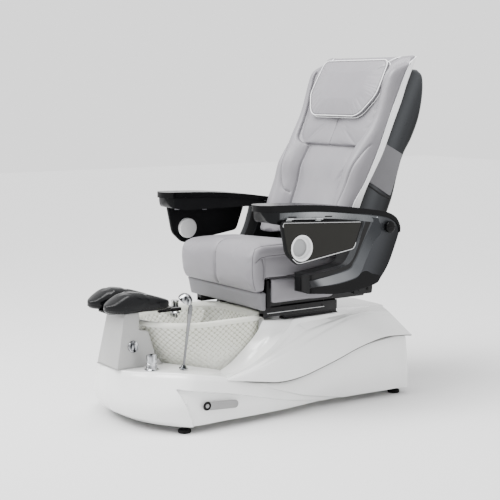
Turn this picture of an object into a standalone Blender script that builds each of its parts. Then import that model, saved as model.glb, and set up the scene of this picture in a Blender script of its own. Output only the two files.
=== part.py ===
"""Pedicure spa chair: a moulded foot-bath base with a sliding, reclining salon seat on it.

Metres, +Z up. The origin is on the floor under the middle of the chair. The sitter faces -Y, and the
sitter's left is +X. Each sub-part is one object, and each moving group hangs from an empty that sits
on its joint's axis.
"""

import math

import bmesh
import bpy
from mathutils import Matrix, Vector

# Driving dimensions -----------------------------------------------------------------------------
GAP = 0.0003            # clearance between pieces that touch
BASE_BOTTOM = 0.030     # underside of the moulded base above the floor
DECK_FRONT = 0.241      # height of the front deck that carries the fittings
WALL = 0.008            # thickness of the moulded shells
HOOD_DECK = 0.402       # flat top of the rear hood, where the seat rails stand
BASE_REAR = 0.650       # rear plane of the base

RIM_TOP = 0.425         # top of the foot bath's rim
RIM_HALF_WIDTH = 0.222
RIM_FRONT, RIM_REAR = -0.590, -0.062
BATH_FLOOR = 0.125

RAIL_X = 0.245          # centre of each seat rail
RAIL_FRONT, RAIL_REAR = -0.020, 0.266
CARRIAGE_FRONT = -0.127             # front end of the sliding upper rail
RAIL_BOTTOM, RAIL_TOP = HOOD_DECK + GAP, 0.434
FRAME_FLOOR = 0.460     # underside of the seat frame

SEAT_HALF_WIDTH = 0.290
SEAT_TOP = 0.738
SEAT_SIDE_SEAM = 0.585
FRAME_HALF_WIDTH = 0.254

RECLINE_AT = (0.0, 0.375, 0.555)    # hinge line of the backrest, along X
RECLINE_PIN_RADIUS = 0.010

ARM_PIVOT_Y, ARM_PIVOT_Z = 0.406, 0.787
ARM_INNER, ARM_SPLIT, ARM_OUTER = 0.322, 0.392, 0.430
ARM_PIN_RADIUS = 0.012
KNOB_RADIUS = 0.025

TRAY_IN, TRAY_OUT = 0.4345, 0.4505
CUP_Y, CUP_Z = -0.072, 0.731
CUP_RADIUS = 0.054
TRAY_HINGE_X, TRAY_HINGE_Z = 0.4425, 0.8460
TRAY_HINGE_SLOPE = -0.05            # the arm's edge falls 50 mm in each metre towards the rear

PILLAR_TOP = 0.466
PLATE_THICKNESS = 0.008
PILLAR_LOW_HALF, PILLAR_TAPER = 0.088, 0.015
BUTTON_Y, BUTTON_Z = -0.653, 0.330
VALVE_AT = (0.150, -0.606, DECK_FRONT)
SPRAYER_AT = (0.204, -0.488, 0.2395)
SPRAYER_TOP = (0.224, -0.467, 0.4760)
SPRAYER_HEAD_AT = (0.213, -0.482, 0.526)
FILLER_AT = (-0.172, -0.299, 0.392)
FILLER_STEM_RADIUS = 0.008

SIDES = (("L", 1.0), ("R", -1.0))   # the sitter's left is +X


# Scene, materials and small helpers -------------------------------------------------------------
def clear_scene():
    for old in list(bpy.data.objects):
        bpy.data.objects.remove(old, do_unlink=True)


def material(name, colour, roughness, metallic=0.0, alpha=1.0):
    made = bpy.data.materials.new(name)
    made.use_nodes = True
    shader = made.node_tree.nodes["Principled BSDF"]
    shader.inputs["Base Color"].default_value = (*colour, 1.0)
    shader.inputs["Roughness"].default_value = roughness
    shader.inputs["Metallic"].default_value = metallic
    shader.inputs["Alpha"].default_value = alpha
    made.diffuse_color = (*colour, alpha)
    return made


def empty_at(name, place, parent=None):
    made = bpy.data.objects.new(name, None)
    made.empty_display_size = 0.05
    bpy.context.collection.objects.link(made)
    made.location = Vector(place) - (parent_place(parent) if parent else Vector())
    made.parent = parent
    return made


def parent_place(obj):
    """World position of an empty whose parents carry no rotation."""
    total = Vector()
    while obj:
        total += obj.location
        obj = obj.parent
    return total


def add(name, shape, finish, parent, smooth=30.0):
    """Turns a bmesh drawn in world coordinates into an object under its joint's empty."""
    bmesh.ops.recalc_face_normals(shape, faces=shape.faces)
    mesh = bpy.data.meshes.new(name)
    shape.to_mesh(mesh)
    shape.free()
    mesh.materials.append(finish)
    mesh.shade_smooth()
    mesh.set_sharp_from_angle(angle=math.radians(smooth))
    obj = bpy.data.objects.new(name, mesh)
    bpy.context.collection.objects.link(obj)
    obj.parent = parent
    mesh.transform(Matrix.Translation(-parent_place(parent)))
    return obj


def rounded(obj, width, segments=2, angle=40.0):
    bevel = obj.modifiers.new("edges", "BEVEL")
    bevel.width = width
    bevel.segments = segments
    bevel.limit_method = "ANGLE"
    bevel.angle_limit = math.radians(angle)
    return obj


def boolean(obj, other, operation):
    other.hide_render = True
    other.display_type = "WIRE"
    cut = obj.modifiers.new(other.name, "BOOLEAN")
    cut.operation = operation
    cut.solver = "EXACT"
    cut.object = other


def cut_with(obj, cutter_shape, name):
    cutter = add(name, cutter_shape, obj.data.materials[0], obj.parent)
    boolean(obj, cutter, "DIFFERENCE")
    return cutter


# Shapes -----------------------------------------------------------------------------------------
def prism(outline, axis, low, high):
    """Extrudes a flat outline. The outline's two numbers are the other two axes, in X, Y, Z order."""
    shape = bmesh.new()
    order = {"x": lambda a, b, h: (h, a, b), "y": lambda a, b, h: (a, h, b), "z": lambda a, b, h: (a, b, h)}
    at = order[axis]
    ends = [[shape.verts.new(at(a, b, h)) for a, b in outline] for h in (low, high)]
    for ring in ends:
        shape.faces.new(ring)
    bridge(shape, ends[0], ends[1])
    return shape


def bridge(shape, ring_a, ring_b, closed=True):
    count = len(ring_a)
    for i in range(count if closed else count - 1):
        j = (i + 1) % count
        shape.faces.new((ring_a[i], ring_a[j], ring_b[j], ring_b[i]))


def box(low, high):
    return prism([(low[0], low[1]), (high[0], low[1]), (high[0], high[1]), (low[0], high[1])],
                 "z", low[2], high[2])


def loft(rings, capped=True):
    """Joins closed rings of equal count in order. Without caps the last ring joins back to the first."""
    shape = bmesh.new()
    made = [[shape.verts.new(point) for point in ring] for ring in rings]
    for ring_a, ring_b in zip(made, made[1:]):
        bridge(shape, ring_a, ring_b)
    if capped:
        shape.faces.new(made[0])
        shape.faces.new(made[-1])
    else:
        bridge(shape, made[-1], made[0])
    return shape


def turned(profile, centre, direction=(0, 0, 1), steps=20):
    """Turns (radius, height) points about an axis. A zero radius closes the shape on the axis."""
    shape = bmesh.new()
    turn = Vector((0, 0, 1)).rotation_difference(Vector(direction)).to_matrix()
    rows = []
    for radius, height in profile:
        count = steps if radius > 0 else 1
        angles = [2 * math.pi * k / steps for k in range(count)]
        rows.append([shape.verts.new(Vector(centre) + turn @ Vector(
            (radius * math.cos(a), radius * math.sin(a), height))) for a in angles])
    for row_a, row_b in zip(rows, rows[1:]):
        if len(row_a) == len(row_b):
            bridge(shape, row_a, row_b)
            continue
        tip, ring = (row_a[0], row_b) if len(row_a) == 1 else (row_b[0], row_a)
        for i, corner in enumerate(ring):
            shape.faces.new((tip, corner, ring[(i + 1) % steps]))
    if len(rows[0]) > 1 and len(rows[-1]) > 1:
        bridge(shape, rows[-1], rows[0])
    return shape


def fillet(corners, radii, steps=4):
    """Rounds the corners of a flat outline with arcs. radii is one number, or one for each corner."""
    if isinstance(radii, (int, float)):
        radii = [radii] * len(corners)
    outline = []
    for i, radius in enumerate(radii):
        here = Vector(corners[i])
        to_last = (Vector(corners[i - 1]) - here)
        to_next = (Vector(corners[(i + 1) % len(corners)]) - here)
        if radius <= 0:
            outline.append(tuple(here))
            continue
        last, following = to_last.normalized(), to_next.normalized()
        half = last.angle(following) / 2
        reach = min(radius / math.tan(half), 0.49 * to_last.length, 0.49 * to_next.length)
        radius = reach * math.tan(half)
        centre = here + (last + following).normalized() * (radius / math.sin(half))
        start, end = here + last * reach - centre, here + following * reach - centre
        sweep = start.angle_signed(end)
        for k in range(steps + 1):
            turn = -sweep * k / steps
            outline.append((centre.x + start.x * math.cos(turn) - start.y * math.sin(turn),
                            centre.y + start.x * math.sin(turn) + start.y * math.cos(turn)))
    return outline


def curve_through(points, pieces):
    """Smooth curve through the points, with the given number of pieces in each span."""
    points = [Vector(p) for p in points]
    padded = [2 * points[0] - points[1], *points, 2 * points[-1] - points[-2]]
    made = []
    for a, b, c, d in zip(padded, padded[1:], padded[2:], padded[3:]):
        for k in range(pieces):
            t = k / pieces
            made.append(0.5 * ((2 * b) + (c - a) * t + (2 * a - 5 * b + 4 * c - d) * t ** 2
                               + (3 * b - a - 3 * c + d) * t ** 3))
    return made + [points[-1]]


def mirrored_ring(half, pieces):
    """Closed ring from a half outline that runs on the +X side from front centre to rear centre."""
    right = curve_through(half, pieces)
    right[0].x = right[-1].x = 0.0
    left = [Vector((-p.x, p.y, p.z)) for p in right[-2:0:-1]]
    return right + left


# Moulded base -----------------------------------------------------------------------------------
def base_shell(finish, parent):
    """Boat-shaped lower body, open above for the bath and below for access."""
    bottom = [(0, -0.672), (0.11, -0.662), (0.205, -0.628), (0.290, -0.573), (0.343, -0.533),
              (0.322, -0.49), (0.330, -0.38), (0.337, -0.22), (0.324, -0.03), (0.306, 0.15),
              (0.309, 0.35), (0.318, 0.57), (0.300, 0.640), (0, BASE_REAR)]
    belly = [(0, -0.738), (0.115, -0.725), (0.212, -0.686), (0.297, -0.618), (0.346, -0.553),
             (0.333, -0.49), (0.338, -0.38), (0.340, -0.22), (0.332, -0.03), (0.318, 0.15),
             (0.316, 0.35), (0.319, 0.57), (0.300, 0.638), (0, BASE_REAR - 0.004)]
    edge = [(0, -0.735), (0.085, -0.718), (0.170, -0.664), (0.243, -0.575), (0.297, -0.515),
            (0.312, -0.46), (0.319, -0.38), (0.322, -0.22), (0.318, -0.03), (0.312, 0.15),
            (0.310, 0.35), (0.308, 0.57), (0.292, 0.628), (0, BASE_REAR - 0.016)]
    edge_height = [DECK_FRONT, DECK_FRONT, DECK_FRONT, 0.240, 0.236, 0.226, 0.212, 0.160, 0.145,
                   0.183, 0.243, 0.268, 0.262, 0.262]
    mouth_height = [DECK_FRONT, DECK_FRONT, DECK_FRONT, 0.238, 0.230, 0.222, 0.206, 0.180, 0.165,
                    0.183, 0.243, 0.262, 0.262, 0.262]
    mouth = [(0, -0.505), (0.06, -0.503), (0.110, -0.485), (0.155, -0.445), (0.185, -0.40),
             (0.197, -0.36), (0.200, -0.30), (0.205, -0.22), (0.215, -0.03), (0.225, 0.15),
             (0.225, 0.35), (0.225, 0.57), (0.215, 0.60), (0, 0.61)]

    def level(plan, heights, inset=0.0):
        """One ring of the body. inset moves it inwards from the plan outline."""
        half = []
        for (x, y), z in zip(plan, heights):
            inward = Vector((x, 0.6 * (y + 0.05)))
            inward = inward.normalized() * inset if inward.length else inward
            half.append((x - inward.x, y - inward.y, z))
        return mirrored_ring(half, 3)

    def blend(share):
        """Heights between the underside and the top edge."""
        return [BASE_BOTTOM + (top - BASE_BOTTOM) * share for top in edge_height]

    flat = [BASE_BOTTOM] * len(edge)
    shoulder = [(0.35 * a[0] + 0.65 * b[0], 0.35 * a[1] + 0.65 * b[1]) for a, b in zip(belly, edge)]
    rings = [
        level(bottom, flat),
        level([(0.5 * a[0] + 0.5 * b[0], 0.35 * a[1] + 0.65 * b[1]) for a, b in zip(bottom, belly)],
              blend(0.14)),
        level(belly, blend(0.42)),
        level(shoulder, blend(0.85)),
        level(edge, edge_height),
        level(edge, edge_height, 0.012),
        level(mouth, mouth_height),
        level(mouth, [z - WALL for z in mouth_height]),
        level(shoulder, [z - WALL for z in edge_height], 0.016),
        level(belly, blend(0.42), WALL),
        level(bottom, flat, WALL),
    ]
    return add("base_shell", loft(rings, capped=False), finish, parent, smooth=40)


def hood_rows():
    """Half outlines of the rear hood, from the wing tip beside the bath to the rear centre."""
    lip = [(0.325, -0.325, 0.2005), (0.337, -0.220, 0.176), (0.341, -0.090, 0.158), (0.341, 0.020, 0.166),
           (0.338, 0.120, 0.188), (0.336, 0.220, 0.215), (0.335, 0.340, 0.252), (0.334, 0.480, 0.279),
           (0.330, 0.600, 0.274), (0.312, 0.6565, 0.268), (0.150, 0.666, 0.268), (0, 0.668, 0.268)]
    ridge = [(0.320, -0.322, 0.208), (0.322, -0.220, 0.219), (0.311, -0.090, 0.256), (0.304, 0.020, 0.290),
             (0.296, 0.120, 0.322), (0.286, 0.220, 0.350), (0.263, 0.340, 0.372), (0.232, 0.480, 0.372),
             (0.205, 0.600, 0.350), (0.190, 0.645, 0.343), (0.110, 0.655, 0.350), (0, 0.657, 0.352)]
    crest = [(0.312, -0.320, 0.210), (0.300, -0.223, 0.236), (0.300, -0.111, 0.302), (0.290, -0.028, 0.363),
             (0.281, 0.020, 0.402), (0.268, 0.150, 0.400), (0.235, 0.330, 0.396), (0.180, 0.480, 0.388),
             (0.145, 0.600, 0.380), (0.137, 0.635, 0.376), (0.080, 0.640, 0.378), (0, 0.641, 0.378)]
    inner = [(0.200, -0.292, 0.2165), (0.201, -0.250, 0.236), (0.2065, -0.172, 0.303), (0.2140, -0.125, 0.355),
             (0.2275, -0.108, HOOD_DECK), (0.2010, -0.083, HOOD_DECK), (0.1660, -0.063, HOOD_DECK),
             (0.1290, -0.056, HOOD_DECK), (0.0950, -0.056, HOOD_DECK), (0.0620, -0.056, HOOD_DECK),
             (0.0300, -0.056, HOOD_DECK), (0, -0.056, HOOD_DECK)]
    return lip, ridge, crest, inner


def rear_hood(finish, parent):
    """Upper cover behind the bath, with a wing along each side of the bowl."""
    lip, ridge, crest, inner = hood_rows()
    plateau = []
    for outer, nearer in zip(crest[4:], inner[4:]):
        outer, nearer = Vector(outer), Vector(nearer)
        share = 0.16
        point = outer.lerp(nearer, share)
        plateau.append((point.x, point.y, HOOD_DECK))
    scoop = [tuple(Vector(a).lerp(Vector(b), 0.5)) for a, b in zip(crest[:4], inner[:4])]
    middle = scoop + plateau

    def arc(row, drop=0.0, inset=0.0):
        half = curve_through(row, 2)
        points = [Vector((p.x - inset * (p.x > inset), p.y - inset * (p.y > 0.6), min(p.z, HOOD_DECK) - drop))
                  for p in half]
        points[-1].x = 0.0
        return points + [Vector((-p.x, p.y, p.z)) for p in points[-2::-1]]

    skin = 0.005
    outer_rows = [arc(lip), arc(ridge), arc(crest), arc(middle), arc(inner)]
    inner_rows = [arc(inner, skin), arc(middle, skin), arc(crest, skin, 0.003), arc(ridge, 0.003, skin),
                  arc(lip, 0.0, skin)]
    shape = bmesh.new()
    rows = [[shape.verts.new(p) for p in row] for row in outer_rows + inner_rows]
    for row_a, row_b in zip(rows, rows[1:] + rows[:1]):
        bridge(shape, row_a, row_b, closed=False)
    for end in (0, -1):
        shape.faces.new([row[end] for row in rows])
    return add("rear_hood", shape, finish, parent, smooth=40)


# Foot bath --------------------------------------------------------------------------------------
def bath_ring(half_width, front, rear, height, steps=7):
    """Plan of the bath at one height: nearly half round at the front, squarer at the rear."""
    corners = [(-half_width, front), (half_width, front), (half_width, rear), (-half_width, rear)]
    front_corner, rear_corner = 0.98 * half_width, 0.42 * half_width
    plan = fillet(corners, [front_corner, front_corner, rear_corner, rear_corner], steps)
    return [(x, y, height) for x, y in plan]


def tub_bowl(finish, parent):
    """Clear bowl with a rolled rim: outer wall up, over the rim and down the inside."""
    levels = [  # half width, front, rear, height
        (0.150, -0.420, -0.120, BATH_FLOOR - 0.006),
        (0.176, -0.462, -0.092, 0.170),
        (0.184, -0.492, -0.080, 0.232),
        (0.200, -0.540, -0.072, 0.320),
        (0.208, -0.568, -0.068, 0.398),
        (RIM_HALF_WIDTH, RIM_FRONT + 0.004, RIM_REAR, 0.404),
        (RIM_HALF_WIDTH + 0.002, RIM_FRONT, RIM_REAR + 0.002, 0.415),
        (RIM_HALF_WIDTH - 0.008, RIM_FRONT + 0.009, RIM_REAR - 0.006, RIM_TOP),
        (0.202, -0.560, -0.076, 0.417),
        (0.193, -0.534, -0.080, 0.320),
        (0.177, -0.486, -0.088, 0.232),
        (0.168, -0.454, -0.100, 0.170),
        (0.142, -0.412, -0.128, BATH_FLOOR),
    ]
    rings = [bath_ring(*row) for row in levels]
    return add("tub_bowl", loft(rings), finish, parent, smooth=40)


def bath_fittings(finishes, parent):
    """Drain strainer on the bath's floor, and the jet on its front wall with the motor behind it."""
    add("tub_drain", turned([(0, 0), (0.030, 0), (0.032, 0.003), (0.026, 0.006), (0, 0.007)],
                            (0.0, -0.19, BATH_FLOOR + GAP), steps=20), finishes["chrome"], parent)
    jet_at = (0.0, -0.4575, 0.205)
    wall_normal = Vector((0, 0.887, 0.461))
    add("jet_cover", turned([(0, 0.004), (0.050, 0.004), (0.054, 0.009), (0.046, 0.020), (0, 0.024)],
                            jet_at, wall_normal, steps=24), finishes["white"], parent)
    add("jet_motor", turned([(0, 0), (0.038, 0), (0.038, 0.070), (0, 0.070)], (0.0, -0.575, 0.135),
                            (0, 0.92, 0.39), steps=16), finishes["black"], parent)
    add("drain_pump", turned([(0, 0), (0.042, 0), (0.042, 0.085), (0.020, 0.100), (0, 0.100)],
                             (0.0, -0.100, 0.060), (0, 1, 0), steps=16), finishes["black"], parent)


def feet(finish, parent):
    spots = {"front": (0.290, -0.538), "rear": (0.275, 0.590)}
    for where, (x, y) in spots.items():
        for letter, side in SIDES:
            profile = [(0, 0), (0.024, 0), (0.027, 0.004), (0.025, 0.014), (0.012, 0.018),
                       (0.012, BASE_BOTTOM - GAP), (0, BASE_BOTTOM - GAP)]
            add(f"foot_{where}_{letter}", turned(profile, (side * x, y, 0), steps=16), finish, parent)


def foot_plates(finish, parent):
    """Flat cross rails inside the base that the feet screw into."""
    for where, y in (("front", -0.538), ("rear", 0.590)):
        add(f"foot_rail_{where}", box((-0.300, y - 0.018, BASE_BOTTOM + GAP),
                                      (0.300, y + 0.018, BASE_BOTTOM + 0.006)), finish, parent)


# Front fittings ---------------------------------------------------------------------------------
def pillar_half_width(height):
    return PILLAR_LOW_HALF - PILLAR_TAPER * (height - DECK_FRONT) / (PILLAR_TOP - DECK_FRONT)


BUTTON_AXIS = (1.0, 0.0, PILLAR_TAPER / (PILLAR_TOP - DECK_FRONT))


def button_face():
    return (pillar_half_width(BUTTON_Z), BUTTON_Y, BUTTON_Z)


def footrest_pillar(finish, parent):
    side = [(-0.731, DECK_FRONT), (-0.686, PILLAR_TOP), (-0.615, PILLAR_TOP), (-0.6225, 0.396),
            (-0.577, 0.384), (-0.548, 0.278), (-0.515, DECK_FRONT)]
    shape = bmesh.new()
    rings = []
    for direction in (-1, 1):
        ring = []
        for y, z in side:
            ring.append(shape.verts.new((direction * pillar_half_width(z), y, z + GAP)))
        rings.append(ring)
    for ring in rings:
        shape.faces.new(ring)
    bridge(shape, rings[0], rings[1])
    pillar = add("footrest_pillar", shape, finish, parent)
    rounded(pillar, 0.004, 2)
    cut_with(pillar, turned([(0, -0.030), (0.0175, -0.030), (0.0175, 0.020), (0, 0.020)],
                            button_face(), BUTTON_AXIS, steps=20), "button_hole")


def jet_button(finishes, body, moving):
    """Air switch on the pillar's side: a fixed bezel and a push button inside it."""
    face = button_face()
    bezel = [(0.0172, -0.020), (0.0172, GAP), (0.0235, GAP), (0.0245, 0.004), (0.0215, 0.008),
             (0.0165, 0.007), (0.0150, -0.020)]
    add("button_bezel", turned(bezel, face, BUTTON_AXIS, steps=24), finishes["chrome"], body)
    add("jet_button", turned([(0, -0.008), (0.0145, -0.008), (0.0145, 0.004), (0.011, 0.0065), (0, 0.005)],
                             face, BUTTON_AXIS, steps=24), finishes["chrome"], moving)


def valve(finishes, body, moving):
    """Mixing valve on the deck: a flange with a stem, and a round handle with a slanted top."""
    x, y, z = VALVE_AT
    add("valve_flange", turned([(0, GAP), (0.0290, GAP), (0.0290, 0.003), (0.0225, 0.008), (0.0220, 0.020),
                                (0, 0.020)], (x, y, z), steps=24), finishes["chrome"], body)
    shape = turned([(0, 0.0203), (0.0235, 0.0203), (0.0225, 0.026), (0.0225, 0.058), (0.020, 0.064),
                    (0, 0.066)], (x, y, z), steps=24)
    for corner in shape.verts:
        if corner.co.z > z + 0.05:
            corner.co.z += 0.20 * (corner.co.x - x)
    add("valve_handle", shape, finishes["chrome"], moving)


def filler(finishes, parent, bowl):
    """Fixed water filler: an upright body inside the bowl, on a stem that comes through its far wall."""
    x, y, z = FILLER_AT
    body = [(0, 0), (0.023, 0), (0.023, 0.004), (0.0165, 0.008), (0.0165, 0.050), (0.0180, 0.053),
            (0.0180, 0.057), (0, 0.058)]
    filler_body = add("filler_body", turned(body, (x, y, z), steps=20), finishes["chrome"], parent)
    stem_height = z - 0.012
    stem = [(0, -0.010), (FILLER_STEM_RADIUS, -0.010), (FILLER_STEM_RADIUS, 0.060), (0, 0.060)]
    elbow = turned([(0, -0.016), (0.0105, -0.016), (0.0105, 0.002), (0, 0.002)], (x, y, stem_height + 0.012))
    boolean(filler_body, add("filler_elbow", elbow, finishes["chrome"], parent), "UNION")
    boolean(filler_body, add("filler_stem", turned(stem, (x, y, stem_height), (-1, 0, 0), steps=16),
                             finishes["chrome"], parent), "UNION")
    hole = FILLER_STEM_RADIUS + GAP
    cut_with(bowl, turned([(0, 0.015), (hole, 0.015), (hole, 0.080), (0, 0.080)], (x, y, stem_height),
                          (-1, 0, 0), steps=16), "filler_hole")


def sprayer(finishes, body, moving, shell):
    """Pull-out hand shower: a flange on the deck, a slender tapered handle and a domed head."""
    foot, top, head = Vector(SPRAYER_AT), Vector(SPRAYER_TOP), Vector(SPRAYER_HEAD_AT)
    along = (top - foot).normalized()
    flange = [(0.0060, 0), (0.0185, 0), (0.0185, 0.003), (0.0120, 0.007), (0.0090, 0.013), (0.0060, 0.013)]
    add("sprayer_flange", turned(flange, foot + Vector((0, 0, GAP)), along, steps=20), finishes["chrome"],
        body)
    cut_with(shell, turned([(0, -0.040), (0.0062, -0.040), (0.0062, 0.040), (0, 0.040)], foot, along,
                           steps=16), "sprayer_hole")
    length = (top - foot).length
    handle = [(0, -0.060), (0.0050, -0.060), (0.0050, 0.050), (0.0060, 0.120), (0.0075, length - 0.040),
              (0.0095, length - 0.015), (0.0095, length + 0.020), (0.0060, length + 0.030), (0, length + 0.031)]
    stick = add("sprayer_handle", turned(handle, foot, along, steps=12), finishes["chrome"], moving)
    hose = [(0, -0.195), (0.0045, -0.195), (0.0045, -0.060 - GAP), (0, -0.060 - GAP)]
    add("sprayer_hose", turned(hose, foot, along, steps=12), finishes["steel"], moving)
    facing = Vector((-0.35, -0.45, -0.82)).normalized()
    dome = [(0, 0.001), (0.0210, 0.001), (0.0230, -0.004), (0.0275, -0.002), (0.0290, 0.005), (0.0270, 0.018),
            (0.0180, 0.028), (0, 0.033)]
    boolean(stick, add("sprayer_dome", turned(dome, head - facing * -0.006, -facing, steps=20),
                       finishes["chrome"], moving), "UNION")
    add("sprayer_face", turned([(0, 0.0), (0.0195, 0.0), (0.0205, 0.003), (0.0180, 0.006), (0, 0.007)],
                               head - facing * (-0.006 - 0.001 + GAP) + facing * 2 * GAP, facing, steps=20),
        finishes["black"], moving)


def badge(finishes, parent):
    """Plain name plate on the left panel, left blank."""
    outline = fillet([(-0.482, 0.092), (-0.312, 0.081), (-0.312, 0.114), (-0.482, 0.128)], 0.0160, 5)
    add("blank_badge", prism(outline, "x", 0.3440, 0.3465), finishes["silver"], parent)


# Footrest ---------------------------------------------------------------------------------------
def footrest(finishes, moving):
    plate_low = PILLAR_TOP + 2 * GAP
    plate = fillet([(-0.060, -0.745), (0.060, -0.745), (0.095, -0.46), (-0.095, -0.46)], 0.03, 4)
    add("footrest_plate", prism(plate, "z", plate_low, plate_low + PLATE_THICKNESS), finishes["black"],
        moving)
    rest_on = plate_low + PLATE_THICKNESS + GAP
    sole = [(0.012, -0.700), (0.030, -0.755), (0.075, -0.775), (0.118, -0.747), (0.130, -0.690),
            (0.122, -0.620), (0.124, -0.550), (0.120, -0.492), (0.085, -0.478), (0.050, -0.490),
            (0.034, -0.560), (0.020, -0.630)]
    for letter, side in SIDES:
        plan = curve_through(sole + sole[:1], 2)[:-1]
        middle = Vector((0.075, -0.63))
        levels = ((0.90, 0.0), (1.0, 0.014), (1.0, 0.042), (0.86, 0.068), (0.45, 0.084))
        rings = []
        for size, rise in levels:
            ring = []
            for p in plan:
                tilt = 1.0 - ((p.y + 0.69) / 0.27) ** 2
                ring.append((side * (middle.x + (p.x - middle.x) * size),
                             middle.y + (p.y - middle.y) * size, rest_on + rise * tilt))
            rings.append(ring)
        add(f"footrest_pad_{letter}", loft(rings), finishes["pad"], moving, smooth=50)


# Rails and seat ---------------------------------------------------------------------------------
def rails(finishes, body, seat):
    for letter, side in SIDES:
        low = [(-0.020, RAIL_BOTTOM), (0.020, RAIL_BOTTOM), (0.020, RAIL_BOTTOM + 0.006),
               (0.012, RAIL_BOTTOM + 0.006), (0.012, RAIL_TOP), (-0.012, RAIL_TOP),
               (-0.012, RAIL_BOTTOM + 0.006), (-0.020, RAIL_BOTTOM + 0.006)]
        outline = [(side * RAIL_X + a, b) for a, b in low]
        add(f"rail_lower_{letter}", prism(outline, "y", RAIL_FRONT, RAIL_REAR), finishes["black"], body)
        high = [(-0.017, RAIL_TOP - 0.014), (-0.0125, RAIL_TOP - 0.014), (-0.0125, RAIL_TOP + GAP),
                (0.0125, RAIL_TOP + GAP), (0.0125, RAIL_TOP - 0.014), (0.017, RAIL_TOP - 0.014),
                (0.017, FRAME_FLOOR - GAP), (-0.017, FRAME_FLOOR - GAP)]
        outline = [(side * RAIL_X + a, b) for a, b in high]
        add(f"rail_upper_{letter}", prism(outline, "y", CARRIAGE_FRONT, RAIL_REAR), finishes["black"], seat)


def seat_frame(finishes, seat):
    """Folded steel pan that slides on the rails, with walls that carry the cushion."""
    half, skin, top = FRAME_HALF_WIDTH, 0.006, SEAT_SIDE_SEAM - 0.004
    channel = [(-half, top), (-half, FRAME_FLOOR), (half, FRAME_FLOOR), (half, top), (half - skin, top),
               (half - skin, FRAME_FLOOR + skin), (-half + skin, FRAME_FLOOR + skin), (-half + skin, top)]
    frame = add("seat_frame", prism(channel, "y", -0.120, 0.425), finishes["black"], seat)
    cut_with(frame, box((-half + skin, -0.130, FRAME_FLOOR - 0.004), (half - skin, -0.030, FRAME_FLOOR + skin + 0.001)),
             "floor_notch")
    x, y, z = RECLINE_AT
    cut_with(frame, turned([(0, -0.30), (RECLINE_PIN_RADIUS + GAP, -0.30), (RECLINE_PIN_RADIUS + GAP, 0.30),
                            (0, 0.30)], (x, y, z), (1, 0, 0), steps=16), "recline_bore")
    add("recline_pin", turned([(0, -0.262), (RECLINE_PIN_RADIUS, -0.262), (RECLINE_PIN_RADIUS, 0.262),
                               (0, 0.262)], (x, y, z), (1, 0, 0), steps=16), finishes["steel"], seat)
    for letter, side in SIDES:
        low, high = sorted((side * (half + GAP), side * (half + 0.030)))
        add(f"front_bracket_{letter}", box((low, -0.128, 0.464), (high, -0.106, SEAT_SIDE_SEAM - 0.012)),
            finishes["black"], seat)


def seat_soft_parts(finishes, seat):
    top = SEAT_TOP
    lip = -0.1315
    side = [(-0.183, 0.532), (-0.200, 0.570), (-0.206, 0.630), (-0.203, 0.690), (-0.186, 0.722),
            (-0.150, top - 0.003), (-0.040, top), (0.240, top - 0.040), (0.288, top - 0.052),
            (0.288, SEAT_SIDE_SEAM), (lip, SEAT_SIDE_SEAM), (lip, 0.532)]
    cushion = add("seat_cushion", prism(side, "x", -SEAT_HALF_WIDTH, SEAT_HALF_WIDTH),
                  finishes["leather"], seat)
    rounded(cushion, 0.016, 2, 70)
    skirt = [(-0.148, 0.460), (-0.167, 0.5315), (-0.1285, 0.5315), (-0.1285, 0.460)]
    add("front_skirt", prism(skirt, "x", -SEAT_HALF_WIDTH + 0.003, SEAT_HALF_WIDTH - 0.003),
        finishes["leather"], seat)
    outline = fillet([(-0.104, 0.5845), (-0.104, 0.481), (0.215, 0.478), (0.300, 0.530), (0.300, 0.5845)],
                     [0.006, 0.016, 0.05, 0.04, 0.006], 4)
    for letter, sign in SIDES:
        low, high = sorted((sign * (FRAME_HALF_WIDTH + GAP), sign * (SEAT_HALF_WIDTH - 0.001)))
        add(f"side_panel_{letter}", prism(outline, "x", low, high), finishes["leather"], seat)


def arm_brackets(finishes, seat):
    """Steel uprights on the seat frame that carry the armrest pivots."""
    for letter, side in SIDES:
        upright = fillet([(0.320, 0.480), (0.425, 0.480), (0.445, 0.770), (0.406, 0.820), (0.375, 0.770)],
                         [0.01, 0.01, 0.03, 0.02, 0.03], 3)
        low, high = sorted((side * 0.3040, side * 0.3100))
        plate = add(f"arm_bracket_{letter}", prism(upright, "x", low, high), finishes["black"], seat)
        foot = box((min(side * 0.2545, side * 0.3065), 0.330, 0.485),
                   (max(side * 0.2545, side * 0.3065), 0.4175, 0.520))
        boolean(plate, add(f"bracket_foot_{letter}", foot, finishes["black"], seat), "UNION")
        pin = turned([(0, side * 0.3065), (ARM_PIN_RADIUS, side * 0.3065), (ARM_PIN_RADIUS, side * 0.3600),
                      (0, side * 0.3600)][::int(side)], (0, ARM_PIVOT_Y, ARM_PIVOT_Z), (1, 0, 0), steps=16)
        boolean(plate, add(f"bracket_pin_{letter}", pin, finishes["black"], seat), "UNION")


# Backrest ---------------------------------------------------------------------------------------
BACK_WINGS = [(0.254, 0.747), (0.285, 0.845), (0.326, 0.948), (0.352, 1.030), (0.400, 1.110),
              (0.470, 1.252), (0.502, 1.343), (0.520, 1.400), (0.548, 1.452), (0.628, 1.500)]
BACK_REAR = [(0.336, 0.747), (0.360, 0.845), (0.400, 0.940), (0.448, 1.020), (0.494, 1.100),
             (0.549, 1.225), (0.592, 1.320), (0.618, 1.390), (0.645, 1.450), (0.672, 1.514)]


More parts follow.
